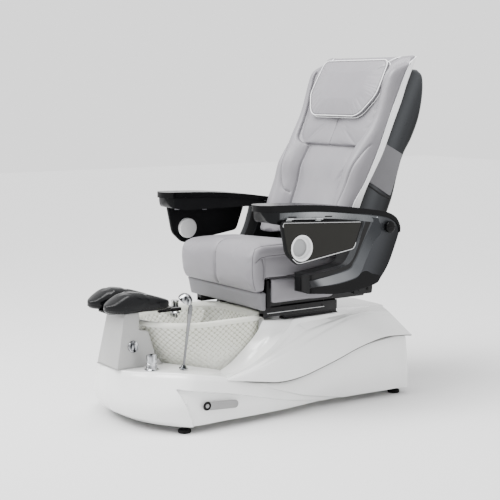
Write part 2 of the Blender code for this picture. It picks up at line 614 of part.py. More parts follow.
def back_cushion(finishes, back):
    """Upholstered back: side wings stand forward of a shallow centre channel."""
    rings = []
    for (y_front, z_front), (y_rear, z_rear) in zip(BACK_WINGS, BACK_REAR):
        share = (z_front - BACK_WINGS[0][1]) / (BACK_WINGS[-1][1] - BACK_WINGS[0][1])
        half = 0.286 + 0.010 * share
        depth = 0.036 if share < 0.95 else 0.020
        fold = 0.150 + 0.064 * share
        front, rear = Vector((y_front, z_front)), Vector((y_rear, z_rear))

        def at(x, towards_rear, front=front, rear=rear):
            point = front + (rear - front).normalized() * towards_rear
            return (x, point.x, point.y)

        thick = (rear - front).length
        right = [(0.0, depth), (0.110, depth), (fold, depth * 0.80), (0.40 * fold + 0.155, 0.010),
                 (0.246, -0.026), (0.266, -0.020), (half - 0.006, 0.012), (half, min(0.044, 0.6 * thick)),
                 (half, thick)]
        ring = [at(x, inward) for x, inward in right]
        ring += [(-x, y, z) for x, y, z in reversed(ring[1:])]
        rings.append(ring)
    add("back_cushion", loft(rings), finishes["leather"], back, smooth=45)


def back_shell(finishes, back):
    """Moulded rear shell, with a bearing sleeve at its foot for the recline pin."""
    x, y, z = RECLINE_AT
    front = [(0.3385, 0.747), (0.3625, 0.845), (0.4025, 0.940), (0.4505, 1.020), (0.4965, 1.100),
             (0.5515, 1.225), (0.5945, 1.320), (0.6205, 1.390), (0.6485, 1.450), (0.690, 1.462)]
    rear = [(0.745, 1.458), (0.776, 1.427), (0.779, 1.345), (0.758, 1.242), (0.716, 1.150),
            (0.673, 1.085), (0.645, 1.020), (0.609, 0.897), (0.578, 0.823), (0.530, 0.715),
            (0.480, 0.600), (0.440, 0.532), (0.375, 0.530)]
    foot = [(0.338, 0.575), (0.345, 0.640)]
    outline = [tuple(p) for p in curve_through([(a, b, 0) for a, b in front + rear], 1)]
    outline = [(p[0], p[1]) for p in outline] + foot
    shell = add("back_shell", prism(outline, "x", -0.238, 0.238), finishes["shell"], back)
    rounded(shell, 0.020, 3, 60)
    cut_with(shell, turned([(0, -0.30), (RECLINE_PIN_RADIUS + GAP, -0.30), (RECLINE_PIN_RADIUS + GAP, 0.30),
                            (0, 0.30)], (x, y, z), (1, 0, 0), steps=16), "shell_bore")
    patch = [(0.524, 1.144), (0.650, 1.082), (0.630, 1.015), (0.583, 0.895), (0.447, 0.970)]
    for letter, side in SIDES:
        low, high = sorted((side * (0.238 + GAP), side * 0.2415))
        add(f"side_patch_{letter}", prism(fillet(patch, 0.008, 2), "x", low, high), finishes["patch"], back)


def head_pillow(finishes, back):
    """Flat padded pillow that hangs over the top of the backrest."""
    bottom, top = Vector((0, 0.445, 1.250)), Vector((0, 0.579, 1.502))
    up = (top - bottom).normalized()
    out = Vector((0, -up.z, up.y))
    height = (top - bottom).length
    corners = [(-0.165, 0.0), (0.165, 0.0), (0.226, 0.11), (0.216, height), (-0.216, height), (-0.226, 0.11)]
    plan = fillet(corners, [0.05, 0.05, 0.09, 0.02, 0.02, 0.09], 4)
    rings = []
    for size, depth in ((0.92, -0.022), (0.98, -0.014), (1.0, -0.004), (0.95, 0.007), (0.62, 0.012)):
        centre = height / 2
        rings.append([bottom + Vector((a * size, 0, 0)) + up * (centre + (b - centre) * size) + out * depth
                      for a, b in plan])
    add("head_pillow", loft(rings), finishes["leather"], back, smooth=50)


# Armrests ---------------------------------------------------------------------------------------
ARM_TOP = [(-0.242, 0.8835), (0.014, 0.8760), (0.184, 0.8600), (0.345, 0.8380), (0.415, 0.8220),
           (0.456, 0.7950), (0.470, 0.7570)]


def offset_line(line, distance):
    """Moves each point of an open line to its left, square to the line."""
    moved = []
    for i, point in enumerate(line):
        along = Vector(line[min(i + 1, len(line) - 1)]) - Vector(line[max(i - 1, 0)])
        along.normalize()
        moved.append(tuple(Vector(point) + Vector((-along.y, along.x)) * distance))
    return moved


def arm_outline(inset=0.0):
    """C-shaped side view: beam above, upright at the rear, lower leg below."""
    outer = ARM_TOP + [(0.450, 0.707), (0.414, 0.628), (0.373, 0.573), (0.333, 0.542),
                       (0.167, 0.520), (0.010, 0.532)]
    nose = [(-0.022, 0.548), (-0.034, 0.575), (-0.026, 0.602), (0.000, 0.614)]
    inner = [(0.144, 0.631), (0.190, 0.643), (0.214, 0.668), (0.244, 0.722), (0.270, 0.800),
             (0.262, 0.818), (0.235, 0.826), (-0.130, 0.826), (-0.190, 0.834), (-0.222, 0.852)]
    outline = outer + nose + inner
    if not inset:
        return outline
    count = len(outline)
    moved = []
    for i, point in enumerate(outline):
        here = Vector(point)
        along = (Vector(outline[(i + 1) % count]) - Vector(outline[i - 1])).normalized()
        moved.append(tuple(here + Vector((along.y, -along.x)) * inset))
    return moved


def arm_plan(side, x_in, x_out, y_front, radius, low, high):
    """Upright block with a rounded front, seen from above. It trims the armrest's pieces."""
    corners = [(side * x_in, 0.55), (side * x_in, y_front), (side * x_out, y_front), (side * x_out, 0.55)]
    return prism(fillet(corners, [0, radius, radius, 0], 5), "z", low, high)


def armrest(letter, side, finishes, arm):
    def span(low, high):
        return sorted((side * low, side * high))

    def trim(obj, x_in, x_out, nose_front):
        beam = add(f"{obj.name}_beam_plan", arm_plan(side, x_in, x_out, -0.244, 0.050, 0.70, 0.95),
                   finishes["black"], arm)
        leg = add(f"{obj.name}_leg_plan", arm_plan(side, x_in, x_out, nose_front, 0.045, 0.45, 0.71),
                  finishes["black"], arm)
        boolean(beam, leg, "UNION")
        boolean(obj, beam, "INTERSECT")

    inner = add(f"arm_inner_{letter}", prism(arm_outline(), "x", *span(ARM_INNER, ARM_SPLIT)),
                finishes["black"], arm)
    trim(inner, ARM_INNER - 0.001, ARM_OUTER, -0.033)
    cut_with(inner, turned([(0, 0.30), (ARM_PIN_RADIUS + GAP, 0.30), (ARM_PIN_RADIUS + GAP, 0.365),
                            (0, 0.365)], (0, ARM_PIVOT_Y, ARM_PIVOT_Z), (side, 0, 0), steps=16),
             f"arm_bore_{letter}")
    outer = add(f"arm_outer_{letter}", prism(arm_outline(0.004), "x", *span(ARM_SPLIT + GAP, ARM_OUTER)),
                finishes["arm"], arm)
    rounded(outer, 0.006, 2, 60)
    trim(outer, ARM_INNER - 0.001, ARM_OUTER + 0.001, -0.030)
    under = offset_line([(-0.275, 0.8845)] + ARM_TOP, 2 * GAP)
    cap_line = under + [(0.4755, 0.7600), (0.4740, 0.7870), (0.452, 0.8230), (0.409, 0.8470), (0.345, 0.8610),
                        (0.184, 0.8840), (0.014, 0.9010), (-0.182, 0.9095), (-0.278, 0.9100)]
    cap = add(f"arm_cap_{letter}", prism(cap_line, "x", *span(ARM_INNER - 0.006, ARM_OUTER + 0.004)),
              finishes["gloss_black"], arm)
    plan = add(f"arm_cap_plan_{letter}", arm_plan(side, ARM_INNER - 0.0055, ARM_OUTER + 0.0035, -0.253, 0.052,
                                                  0.70, 0.95), finishes["black"], arm)
    boolean(cap, plan, "INTERSECT")


def lock_knob(letter, side, finishes, knob):
    profile = [(0, GAP), (0.021, GAP), (0.021, 0.006), (KNOB_RADIUS, 0.009), (KNOB_RADIUS, 0.019),
               (0.022, 0.023), (0, 0.024)]
    add(f"arm_knob_{letter}", turned(profile, (side * ARM_OUTER, ARM_PIVOT_Y, ARM_PIVOT_Z), (side, 0, 0),
                                     steps=20), finishes["gloss_black"], knob)


def tray(letter, side, finishes, moving):
    """Flip-up side tray with a cup holder, hung from two hinges on the edge of the armrest."""
    corners = [(-0.178, 0.846), (0.252, 0.8245), (0.206, 0.704), (-0.095, 0.661), (-0.150, 0.712)]
    outline = fillet(corners, [0.016, 0.014, 0.030, 0.045, 0.060], 4)
    low, high = sorted((side * TRAY_IN, side * TRAY_OUT))
    panel = add(f"tray_panel_{letter}", prism(outline, "x", low, high), finishes["tray"], moving)
    cut_with(panel, turned([(0, -0.1), (0.0472, -0.1), (0.0472, 0.1), (0, 0.1)],
                           (side * TRAY_OUT, CUP_Y, CUP_Z), (side, 0, 0), steps=32), f"cup_hole_{letter}")
    cup = [(0, -0.032), (0.0420, -0.032), (0.0455, -0.029), (0.0468, GAP), (CUP_RADIUS, GAP),
           (CUP_RADIUS, 0.002), (0.0505, 0.0045), (0.0445, 0.0035), (0.0430, -0.012), (0.0365, -0.014),
           (0.0350, -0.024), (0, -0.026)]
    add(f"cup_holder_{letter}", turned(cup, (side * TRAY_OUT, CUP_Y, CUP_Z), (side, 0, 0), steps=32),
        finishes["white"], moving)
    tray_hinge(letter, side, finishes["steel"], moving)


def tray_hinge(letter, side, finish, moving):
    """Two barrels on one pin. A folded leaf runs from each barrel down the tray's inner face."""
    along = Vector((0, 1, TRAY_HINGE_SLOPE)).normalized()
    barrel, pin, length, spacing, first = 0.0040, 0.0020, 0.034, 0.150, -0.142
    rod = [(0, 0), (barrel, 0), (barrel, length), (pin, length), (pin, spacing), (barrel, spacing),
           (barrel, spacing + length), (0, spacing + length)]
    start = (side * TRAY_HINGE_X, first, TRAY_HINGE_Z + TRAY_HINGE_SLOPE * first)
    hinge = add(f"tray_hinge_{letter}", turned(rod, start, along, steps=12), finish, moving)
    leaf_in, leaf_out, reach = TRAY_IN - 0.0033, TRAY_IN - GAP, 0.034
    for number, y in enumerate((first, first + spacing)):
        z = TRAY_HINGE_Z + TRAY_HINGE_SLOPE * (y + length / 2)
        section = [(leaf_in, z + 0.003), (leaf_in, z - reach), (leaf_out, z - reach), (leaf_out, z - 0.001),
                   (TRAY_HINGE_X, z - 0.001), (TRAY_HINGE_X, z + 0.003)]
        outline = [(side * x, height) for x, height in section]
        leaf = add(f"hinge_leaf_{letter}_{number}", prism(outline, "y", y + 0.003, y + length - 0.003),
                   finish, moving)
        boolean(hinge, leaf, "UNION")


# Assembly ---------------------------------------------------------------------------------------
def build():
    clear_scene()
    finishes = {
        "white": material("gloss_white", (0.90, 0.90, 0.89), 0.12),
        "clear": material("clear_bowl", (0.86, 0.90, 0.80), 0.06, alpha=0.35),
        "silver": material("satin_silver", (0.62, 0.62, 0.61), 0.35, 0.3),
        "chrome": material("chrome", (0.80, 0.81, 0.82), 0.06, 1.0),
        "steel": material("steel", (0.45, 0.46, 0.47), 0.30, 1.0),
        "black": material("satin_black", (0.02, 0.02, 0.022), 0.40),
        "gloss_black": material("gloss_black", (0.015, 0.015, 0.017), 0.12),
        "pad": material("black_pad", (0.03, 0.032, 0.035), 0.32),
        "rubber": material("rubber", (0.015, 0.015, 0.015), 0.70),
        "leather": material("grey_leather", (0.46, 0.45, 0.47), 0.45),
        "patch": material("grey_cloth", (0.38, 0.38, 0.40), 0.65),
        "shell": material("charcoal_shell", (0.06, 0.065, 0.07), 0.35),
        "arm": material("arm_grey", (0.12, 0.125, 0.13), 0.30, 0.4),
        "tray": material("tray_dark", (0.045, 0.043, 0.038), 0.30),
    }
    base = empty_at("base", (0, 0, 0))
    shell = base_shell(finishes["white"], base)
    rear_hood(finishes["white"], base)
    bowl = tub_bowl(finishes["clear"], base)
    bath_fittings(finishes, base)
    feet(finishes["rubber"], base)
    foot_plates(finishes["steel"], base)
    footrest_pillar(finishes["silver"], base)
    filler(finishes, base, bowl)
    badge(finishes, base)
    jet_button(finishes, base, empty_at("jet_button_axis", button_face(), base))
    valve(finishes, base, empty_at("valve_axis", VALVE_AT, base))
    sprayer(finishes, base, empty_at("sprayer_axis", SPRAYER_AT, base), shell)
    footrest(finishes, empty_at("footrest_axis", (0, -0.65, PILLAR_TOP), base))

    seat = empty_at("seat_axis", (0, 0.08, RAIL_TOP), base)
    rails(finishes, base, seat)
    seat_frame(finishes, seat)
    seat_soft_parts(finishes, seat)
    arm_brackets(finishes, seat)

    back = empty_at("recline_axis", RECLINE_AT, seat)
    back_cushion(finishes, back)
    back_shell(finishes, back)
    head_pillow(finishes, back)

    for letter, side in SIDES:
        arm = empty_at(f"arm_axis_{letter}", (side * 0.36, ARM_PIVOT_Y, ARM_PIVOT_Z), seat)
        armrest(letter, side, finishes, arm)
        knob = empty_at(f"knob_axis_{letter}", (side * ARM_OUTER, ARM_PIVOT_Y, ARM_PIVOT_Z), arm)
        lock_knob(letter, side, finishes, knob)
        hinge = empty_at(f"tray_axis_{letter}", (side * TRAY_HINGE_X, 0, TRAY_HINGE_Z), arm)
        tray(letter, side, finishes, hinge)


build()
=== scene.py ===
"""Looks of the pedicure spa chair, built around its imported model.

Every length is in metres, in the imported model's frame: +Z up, the sitter faces -Y, the sitter's left is +X.
"""

import math

import bmesh
import bpy
import numpy as np
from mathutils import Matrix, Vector
from mathutils.bvhtree import BVHTree


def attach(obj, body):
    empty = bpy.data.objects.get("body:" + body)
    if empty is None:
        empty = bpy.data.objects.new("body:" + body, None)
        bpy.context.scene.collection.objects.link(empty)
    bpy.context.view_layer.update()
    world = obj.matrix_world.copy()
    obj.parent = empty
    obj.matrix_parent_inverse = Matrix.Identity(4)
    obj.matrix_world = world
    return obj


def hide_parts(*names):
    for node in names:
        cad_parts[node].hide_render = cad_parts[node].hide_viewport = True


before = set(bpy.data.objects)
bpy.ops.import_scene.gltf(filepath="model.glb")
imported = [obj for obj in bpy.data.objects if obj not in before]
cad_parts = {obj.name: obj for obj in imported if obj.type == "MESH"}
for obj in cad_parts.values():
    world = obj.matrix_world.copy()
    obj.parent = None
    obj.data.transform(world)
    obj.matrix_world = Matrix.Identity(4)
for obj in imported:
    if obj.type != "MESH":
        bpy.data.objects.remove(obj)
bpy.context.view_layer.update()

SIDES = (("L", 1.0), ("R", -1.0))


# Camera, light and floor ------------------------------------------------------------------------
CAMERA_AT = (4.3407, -3.0213, 1.38)
CAMERA_TURN, CAMERA_DROP = 55.3, 7.66
CAMERA_LENS = 87.26
SUN_WAY = (0.25, 0.95, -1.35)
SUN_SPREAD = 38


def place_camera():
    """The camera stands off the sitter's left front and looks a little down."""
    turn, drop = math.radians(CAMERA_TURN), math.radians(CAMERA_DROP)
    view = Vector((-math.sin(turn) * math.cos(drop), math.cos(turn) * math.cos(drop), -math.sin(drop)))
    data = bpy.data.cameras.new("camera")
    data.lens = CAMERA_LENS
    data.sensor_width = 36.0
    camera = bpy.data.objects.new("camera", data)
    camera.location = CAMERA_AT
    camera.rotation_mode = "QUATERNION"
    camera.rotation_quaternion = view.to_track_quat("-Z", "Y")
    bpy.context.scene.collection.objects.link(camera)
    bpy.context.scene.camera = camera


def area_light(name, place, aim, size, power):
    data = bpy.data.lights.new(name, "AREA")
    data.shape = "RECTANGLE"
    data.size, data.size_y = size
    data.energy = power
    lamp = bpy.data.objects.new(name, data)
    lamp.location = place
    lamp.rotation_mode = "QUATERNION"
    lamp.rotation_quaternion = (Vector(aim) - Vector(place)).to_track_quat("-Z", "Y")
    bpy.context.scene.collection.objects.link(lamp)


def light_and_floor():
    world = bpy.data.worlds.new("studio")
    world.use_nodes = True
    background = world.node_tree.nodes["Background"]
    background.inputs["Color"].default_value = (1.0, 1.0, 1.0, 1.0)
    background.inputs["Strength"].default_value = 1.60
    bpy.context.scene.world = world
    sun = bpy.data.lights.new("key", "SUN")
    sun.energy = 3.2
    sun.angle = math.radians(SUN_SPREAD)
    key = bpy.data.objects.new("key", sun)
    key.rotation_mode = "QUATERNION"
    key.rotation_quaternion = Vector(SUN_WAY).to_track_quat("-Z", "Y")
    bpy.context.scene.collection.objects.link(key)
    area_light("top", (0.1, -0.5, 3.4), (0, 0, 0.5), (1.4, 2.0), 110)
    area_light("front_left", (-1.6, -3.2, 2.2), (0, 0, 0.7), (0.8, 2.0), 70)
    floor_shape = bmesh.new()
    bmesh.ops.create_grid(floor_shape, x_segments=1, y_segments=1, size=14)
    mesh = bpy.data.meshes.new("floor")
    floor_shape.to_mesh(mesh)
    floor_shape.free()
    floor = bpy.data.objects.new("floor", mesh)
    finish, _ = principled("studio_floor", (0.72, 0.72, 0.72), 0.85, Specular_IOR_Level=0.1)
    mesh.materials.append(finish)
    bpy.context.scene.collection.objects.link(floor)


# Materials --------------------------------------------------------------------------------------
def principled(name, colour, roughness, metallic=0.0, **sockets):
    made = bpy.data.materials.new(name)
    made.use_nodes = True
    shader = made.node_tree.nodes["Principled BSDF"]
    shader.inputs["Base Color"].default_value = (*colour, 1.0)
    shader.inputs["Roughness"].default_value = roughness
    shader.inputs["Metallic"].default_value = metallic
    for label, value in sockets.items():
        shader.inputs[label.replace("_", " ")].default_value = value
    return made, shader


def node(tree, kind, **values):
    made = tree.nodes.new(kind)
    for label, value in values.items():
        if hasattr(made, label):
            setattr(made, label, value)
        else:
            made.inputs[label.replace("_", " ")].default_value = value
    return made


def coordinates(made, stretch=(1.0, 1.0, 1.0)):
    """The piece's own coordinates, in metres, stretched for a directional grain."""
    tree = made.node_tree
    source = node(tree, "ShaderNodeTexCoord")
    mapping = node(tree, "ShaderNodeMapping")
    mapping.inputs["Scale"].default_value = stretch
    tree.links.new(source.outputs["Object"], mapping.inputs["Vector"])
    return mapping.outputs["Vector"]


def vary_colour(made, shader, darker, lighter, scale, detail=3.0, stretch=(1.0, 1.0, 1.0)):
    """Slow change of tone over the surface."""
    tree = made.node_tree
    noise = node(tree, "ShaderNodeTexNoise", Scale=scale, Detail=detail, Roughness=0.55)
    ramp = node(tree, "ShaderNodeValToRGB")
    ramp.color_ramp.elements[0].position = 0.30
    ramp.color_ramp.elements[1].position = 0.70
    ramp.color_ramp.elements[0].color = (*darker, 1.0)
    ramp.color_ramp.elements[1].color = (*lighter, 1.0)
    tree.links.new(coordinates(made, stretch), noise.inputs["Vector"])
    tree.links.new(noise.outputs["Fac"], ramp.inputs["Fac"])
    tree.links.new(ramp.outputs["Color"], shader.inputs["Base Color"])


def vary_roughness(made, shader, low, high, scale, stretch=(1.0, 1.0, 1.0)):
    tree = made.node_tree
    noise = node(tree, "ShaderNodeTexNoise", Scale=scale, Detail=4.0)
    spread = node(tree, "ShaderNodeMapRange")
    spread.inputs["From Min"].default_value = 0.3
    spread.inputs["From Max"].default_value = 0.7
    spread.inputs["To Min"].default_value = low
    spread.inputs["To Max"].default_value = high
    tree.links.new(coordinates(made, stretch), noise.inputs["Vector"])
    tree.links.new(noise.outputs["Fac"], spread.inputs["Value"])
    tree.links.new(spread.outputs["Result"], shader.inputs["Roughness"])


def bump_from(made, shader, height_output, distance, strength):
    tree = made.node_tree
    bump = node(tree, "ShaderNodeBump", Strength=strength, Distance=distance)
    tree.links.new(height_output, bump.inputs["Height"])
    tree.links.new(bump.outputs["Normal"], shader.inputs["Normal"])
    return bump


def fine_noise_bump(made, shader, scale, distance, strength=0.5, stretch=(1.0, 1.0, 1.0)):
    noise = node(made.node_tree, "ShaderNodeTexNoise", Scale=scale, Detail=3.0)
    made.node_tree.links.new(coordinates(made, stretch), noise.inputs["Vector"])
    bump_from(made, shader, noise.outputs["Fac"], distance, strength)


def leather(name, darker, lighter, roughness, cell, depth, coat=0.0, level=0.30):
    """Coated synthetic leather: rounded grain cells with fine pores, and a soft change of tone."""
    middle = tuple(0.5 * (a + b) for a, b in zip(darker, lighter))
    made, shader = principled(name, middle, roughness, Coat_Weight=coat, Coat_Roughness=0.25,
                              Specular_IOR_Level=level)
    vary_colour(made, shader, darker, lighter, 5.0)
    vary_roughness(made, shader, roughness - 0.05, roughness + 0.06, 14.0)
    tree = made.node_tree
    cells = node(tree, "ShaderNodeTexVoronoi", Scale=1.0 / cell, feature="SMOOTH_F1")
    pores = node(tree, "ShaderNodeTexNoise", Scale=2.2 / cell, Detail=2.0)
    mix = node(tree, "ShaderNodeMath", operation="MULTIPLY_ADD")
    mix.inputs[1].default_value = 0.35
    place = coordinates(made)
    tree.links.new(place, cells.inputs["Vector"])
    tree.links.new(place, pores.inputs["Vector"])
    tree.links.new(pores.outputs["Fac"], mix.inputs[0])
    tree.links.new(cells.outputs["Distance"], mix.inputs[2])
    bump_from(made, shader, mix.outputs["Value"], depth, 0.45)
    return made


def moulded(name, colour, roughness, grain=0.0006, depth=0.00006, metallic=0.0, spread=0.10, **sockets):
    """Moulded or painted plastic: faint mottling, uneven gloss and a fine surface grain."""
    made, shader = principled(name, colour, roughness, metallic, **sockets)
    darker = tuple(c * (1.0 - spread) for c in colour)
    lighter = tuple(min(1.0, c * (1.0 + spread)) for c in colour)
    vary_colour(made, shader, darker, lighter, 9.0)
    vary_roughness(made, shader, roughness * 0.85, roughness * 1.2, 30.0)
    fine_noise_bump(made, shader, 1.0 / grain, depth, 0.4)
    return made


def build_materials():
    made = {
        "white": moulded("white_gelcoat", (0.80, 0.805, 0.80), 0.16, 0.004, 0.00004, spread=0.012,
                         Coat_Weight=0.6, Coat_Roughness=0.05),
        "silver_paint": moulded("pillar_silver_paint", (0.38, 0.38, 0.375), 0.34, 0.0012, 0.00003,
                                metallic=0.25, spread=0.03),
        "plate": moulded("blank_plate", (0.25, 0.25, 0.25), 0.30, 0.001, 0.00003, metallic=0.6,
                         spread=0.04),
        "chrome": chrome_with_painted_reflections(),
        "steel": moulded("zinc_plated_steel", (0.50, 0.51, 0.52), 0.30, 0.0008, 0.00002, metallic=1.0),
        "stick": moulded("drawn_chrome", (0.20, 0.203, 0.21), 0.20, 0.002, 0.00001, metallic=1.0,
                         spread=0.10),
        # Light grey strips along the trays' and rails' edges: painted edge highlights.
        "trim": moulded("painted_edge_highlight", (0.56, 0.565, 0.57), 0.35, 0.002, 0.00001, metallic=0.3,
                        spread=0.03),
        "satin_black": moulded("satin_black_powder", (0.0030, 0.0030, 0.0034), 0.34, 0.0005, 0.00008,
                               Specular_IOR_Level=0.22),
        "gloss_black": moulded("polished_black", (0.0016, 0.0016, 0.0020), 0.22, 0.002, 0.00001,
                               spread=0.15,
                               Specular_IOR_Level=0.12),
        "black_shell": moulded("grained_black_plastic", (0.0035, 0.0037, 0.0042), 0.42, 0.0007, 0.00010,
                               Specular_IOR_Level=0.12),
        "tray_face": moulded("tray_olive_black", (0.0125, 0.0122, 0.0105), 0.42, 0.0006, 0.00008,
                             spread=0.08,
                             Specular_IOR_Level=0.15),
        # The arm's paints are graded: painted shade towards the nose and the rear with lighter painted
        # highlight bands between; the bevel and the beam strip carry bright painted highlights.
        "arm_metal_painted_shade": painted_light_gradient("arm_paint_painted_shade", (0.150, 0.780), (0.420, 0.640),
                            ((0.0, (0.004, 0.0043, 0.005)), (0.38, (0.050, 0.053, 0.057)),
                             (0.62, (0.036, 0.038, 0.042)),
                             (1.0, (0.006, 0.0065, 0.0075))), 0.32),
        "arm_bevel_highlight": painted_light_gradient("arm_bevel_painted_highlight", (0.300, 0.820), (0.020, 0.560),
                            ((0.0, (0.022, 0.024, 0.027)), (0.45, (0.075, 0.079, 0.085)),
                             (0.70, (0.150, 0.156, 0.163)),
                             (0.90, (0.190, 0.196, 0.203)), (1.0, (0.020, 0.021, 0.023))), 0.30),
        "arm_beam_highlight": painted_light_gradient("arm_beam_painted_highlight", (-0.215, 0.870), (0.420, 0.820),
                           ((0.0, (0.006, 0.0063, 0.007)), (0.16, (0.120, 0.125, 0.131)),
                            (0.34, (0.300, 0.307, 0.315)),
                            (0.72, (0.130, 0.136, 0.142)), (1.0, (0.035, 0.037, 0.041))), 0.28),
        # The shell's charcoal is graded with a painted highlight band across the middle and painted shade at
        # both ends.
        "shell": painted_light_gradient("charcoal_shell", (0.360, 0.845), (0.531, 0.763),
                        ((0.0, (0.0035, 0.0038, 0.0044)), (0.14, (0.008, 0.0086, 0.0096)),
                         (0.46, (0.046, 0.049, 0.053)),
                         (0.74, (0.020, 0.0215, 0.024)), (1.0, (0.0030, 0.0033, 0.0038))), 0.30, 0.10),
        "rubber": moulded("black_rubber", (0.004, 0.004, 0.004), 0.72, 0.0008, 0.00020,
                          Specular_IOR_Level=0.15),
        # Dark grey cord under the hood's lip: painted shadow of the gap beneath the overhang.
        "lip_shade_cord": moulded("grey_painted_lip_shadow", (0.075, 0.074, 0.068), 0.6, 0.0008, 0.0001, spread=0.2),
        "cup": moulded("white_cup_plastic", (0.74, 0.745, 0.75), 0.22, 0.003, 0.00003, spread=0.015),
        # Grey lining of the cup holder's recess: painted shade inside the well.
        "cup_well_shade": moulded("cup_plastic_painted_shade", (0.33, 0.335, 0.34), 0.30, 0.003, 0.00003, spread=0.03),
        "lamp": moulded("pale_lens", (0.80, 0.84, 0.88), 0.12, 0.002, 0.00001, spread=0.02),
        "nozzle": moulded("dark_nozzle_face", (0.012, 0.013, 0.015), 0.25, 0.001, 0.00006),
        "leather": leather("grey_leather", (0.180, 0.174, 0.188), (0.200, 0.194, 0.208), 0.42, 0.0016,
                           0.00022, coat=0.10),
        "leather_white": leather("white_piping_leather", (0.76, 0.76, 0.77), (0.82, 0.82, 0.83), 0.36,
                                 0.0014, 0.00015, coat=0.12),
        # Darker grey leather: the pockets' own colour, and on the front skirt painted shade under the seat's
        # overhang.
        "patch": leather("patch_leather", (0.130, 0.129, 0.137), (0.148, 0.147, 0.155), 0.55, 0.0013,
                         0.0002),
        # Near-black cords on seams, folds and the seat welts: stitching colour together with painted shade of
        # the sunk seams and folds.
        "thread_and_seam_shade": leather("seam_shadow_leather", (0.035, 0.034, 0.037), (0.050, 0.048, 0.052), 0.62, 0.0010,
                          0.0001),
        "pad": leather("black_skinned_foam", (0.0018, 0.0020, 0.0025), (0.0030, 0.0033, 0.0040), 0.24,
                       0.0022,
                       0.00005, level=0.20),
    }
    made["bowl"] = bowl_material("clear_tinted_resin", (0.93, 0.935, 0.86), (0.97, 0.975, 0.94), 0.50)
    # Darker grey-green resin for the diamonds' grooves: painted shade in the hollows.
    made["bowl_groove"] = bowl_material("resin_grooves_painted_shade", (0.47, 0.48, 0.40), (0.62, 0.63, 0.55), 0.45)
    return made


def painted_light_gradient(name, start, end, tones, roughness, metallic=0.35):
    """Metallic paint with painted highlight bands and painted shade: its colour changes tone along the line
    from start to end, in the piece's (Y, Z) plane.
    """
    made, shader = principled(name, tones[0][1], roughness, metallic, Specular_IOR_Level=0.18)
    tree = made.node_tree
    way = (Vector((0, *end)) - Vector((0, *start)))
    length = way.length
    way.normalize()
    place = node(tree, "ShaderNodeTexCoord")
    along = node(tree, "ShaderNodeVectorMath", operation="DOT_PRODUCT")
    along.inputs[1].default_value = way
    scale = node(tree, "ShaderNodeMapRange")
    scale.inputs["From Min"].default_value = Vector((0, *start)).dot(way)
    scale.inputs["From Max"].default_value = Vector((0, *start)).dot(way) + length
    ramp = node(tree, "ShaderNodeValToRGB")
    ramp.color_ramp.interpolation = "EASE"
    while len(ramp.color_ramp.elements) < len(tones):
        ramp.color_ramp.elements.new(0.5)
    for element, (at, tone) in zip(ramp.color_ramp.elements, tones):
        element.position = at
        element.color = (*tone, 1.0)
    tree.links.new(place.outputs["Object"], along.inputs[0])
    tree.links.new(along.outputs["Value"], scale.inputs["Value"])
    tree.links.new(scale.outputs["Result"], ramp.inputs["Fac"])
    tree.links.new(ramp.outputs["Color"], shader.inputs["Base Color"])
    vary_roughness(made, shader, roughness * 0.9, roughness * 1.1, 30.0)
    fine_noise_bump(made, shader, 1100.0, 0.00002, 0.3)
    return made


def chrome_with_painted_reflections():
    """Polished chrome with painted reflections: the dark and light bands of a studio are painted into its
    colour.
    """
    made, shader = principled("chrome_painted_reflections", (0.6, 0.61, 0.62), 0.07, 1.0)
    vary_colour(made, shader, (0.012, 0.014, 0.017), (0.62, 0.63, 0.65), 90.0, 0.0, (1.0, 1.0, 0.35))
    fine_noise_bump(made, shader, 300.0, 0.00001, 0.2)
    return made


def bowl_material(name, darker, lighter, clear):
    """Clear cast resin with a faint yellow-green tint."""
    made, shader = principled(name, lighter, 0.06, 0.0, Transmission_Weight=clear, IOR=1.22)
    vary_colour(made, shader, darker, lighter, 4.0)
    fine_noise_bump(made, shader, 160.0, 0.00006, 0.3)
    return made


# Shapes -----------------------------------------------------------------------------------------
def spline_point(a, b, c, d, t):
    """Point between b and c, at share t, of the smooth curve through all four."""
    return 0.5 * ((2 * b) + (c - a) * t + (2 * a - 5 * b + 4 * c - d) * t ** 2
                  + (3 * b - a - 3 * c + d) * t ** 3)


def curve_through(points, pieces):
    """Smooth curve through the points, with the given number of pieces in each span."""
    points = np.asarray(points, float)
    padded = np.vstack([2 * points[0] - points[1], points, 2 * points[-1] - points[-2]])
    made = []
    for a, b, c, d in zip(padded, padded[1:], padded[2:], padded[3:]):
        made += [spline_point(a, b, c, d, k / pieces) for k in range(pieces)]
    return np.array(made + [points[-1]])


def flat_curve(points, pieces):
    """Smooth curve through points of a plane."""
    return curve_through([(*p, 0.0) for p in points], pieces)[:, :2]


def evenly(points, count, closed=False):
    """The line's points at even spacing."""
    points = np.asarray(points, float)
    if closed:
        points = np.vstack([points, points[:1]])
    steps = np.linalg.norm(np.diff(points, axis=0), axis=1)
    along = np.concatenate([[0], np.cumsum(steps)])
    wanted = np.linspace(0, along[-1], count + 1 if closed else count)
    made = np.column_stack([np.interp(wanted, along, points[:, k]) for k in range(points.shape[1])])
    return made[:-1] if closed else made


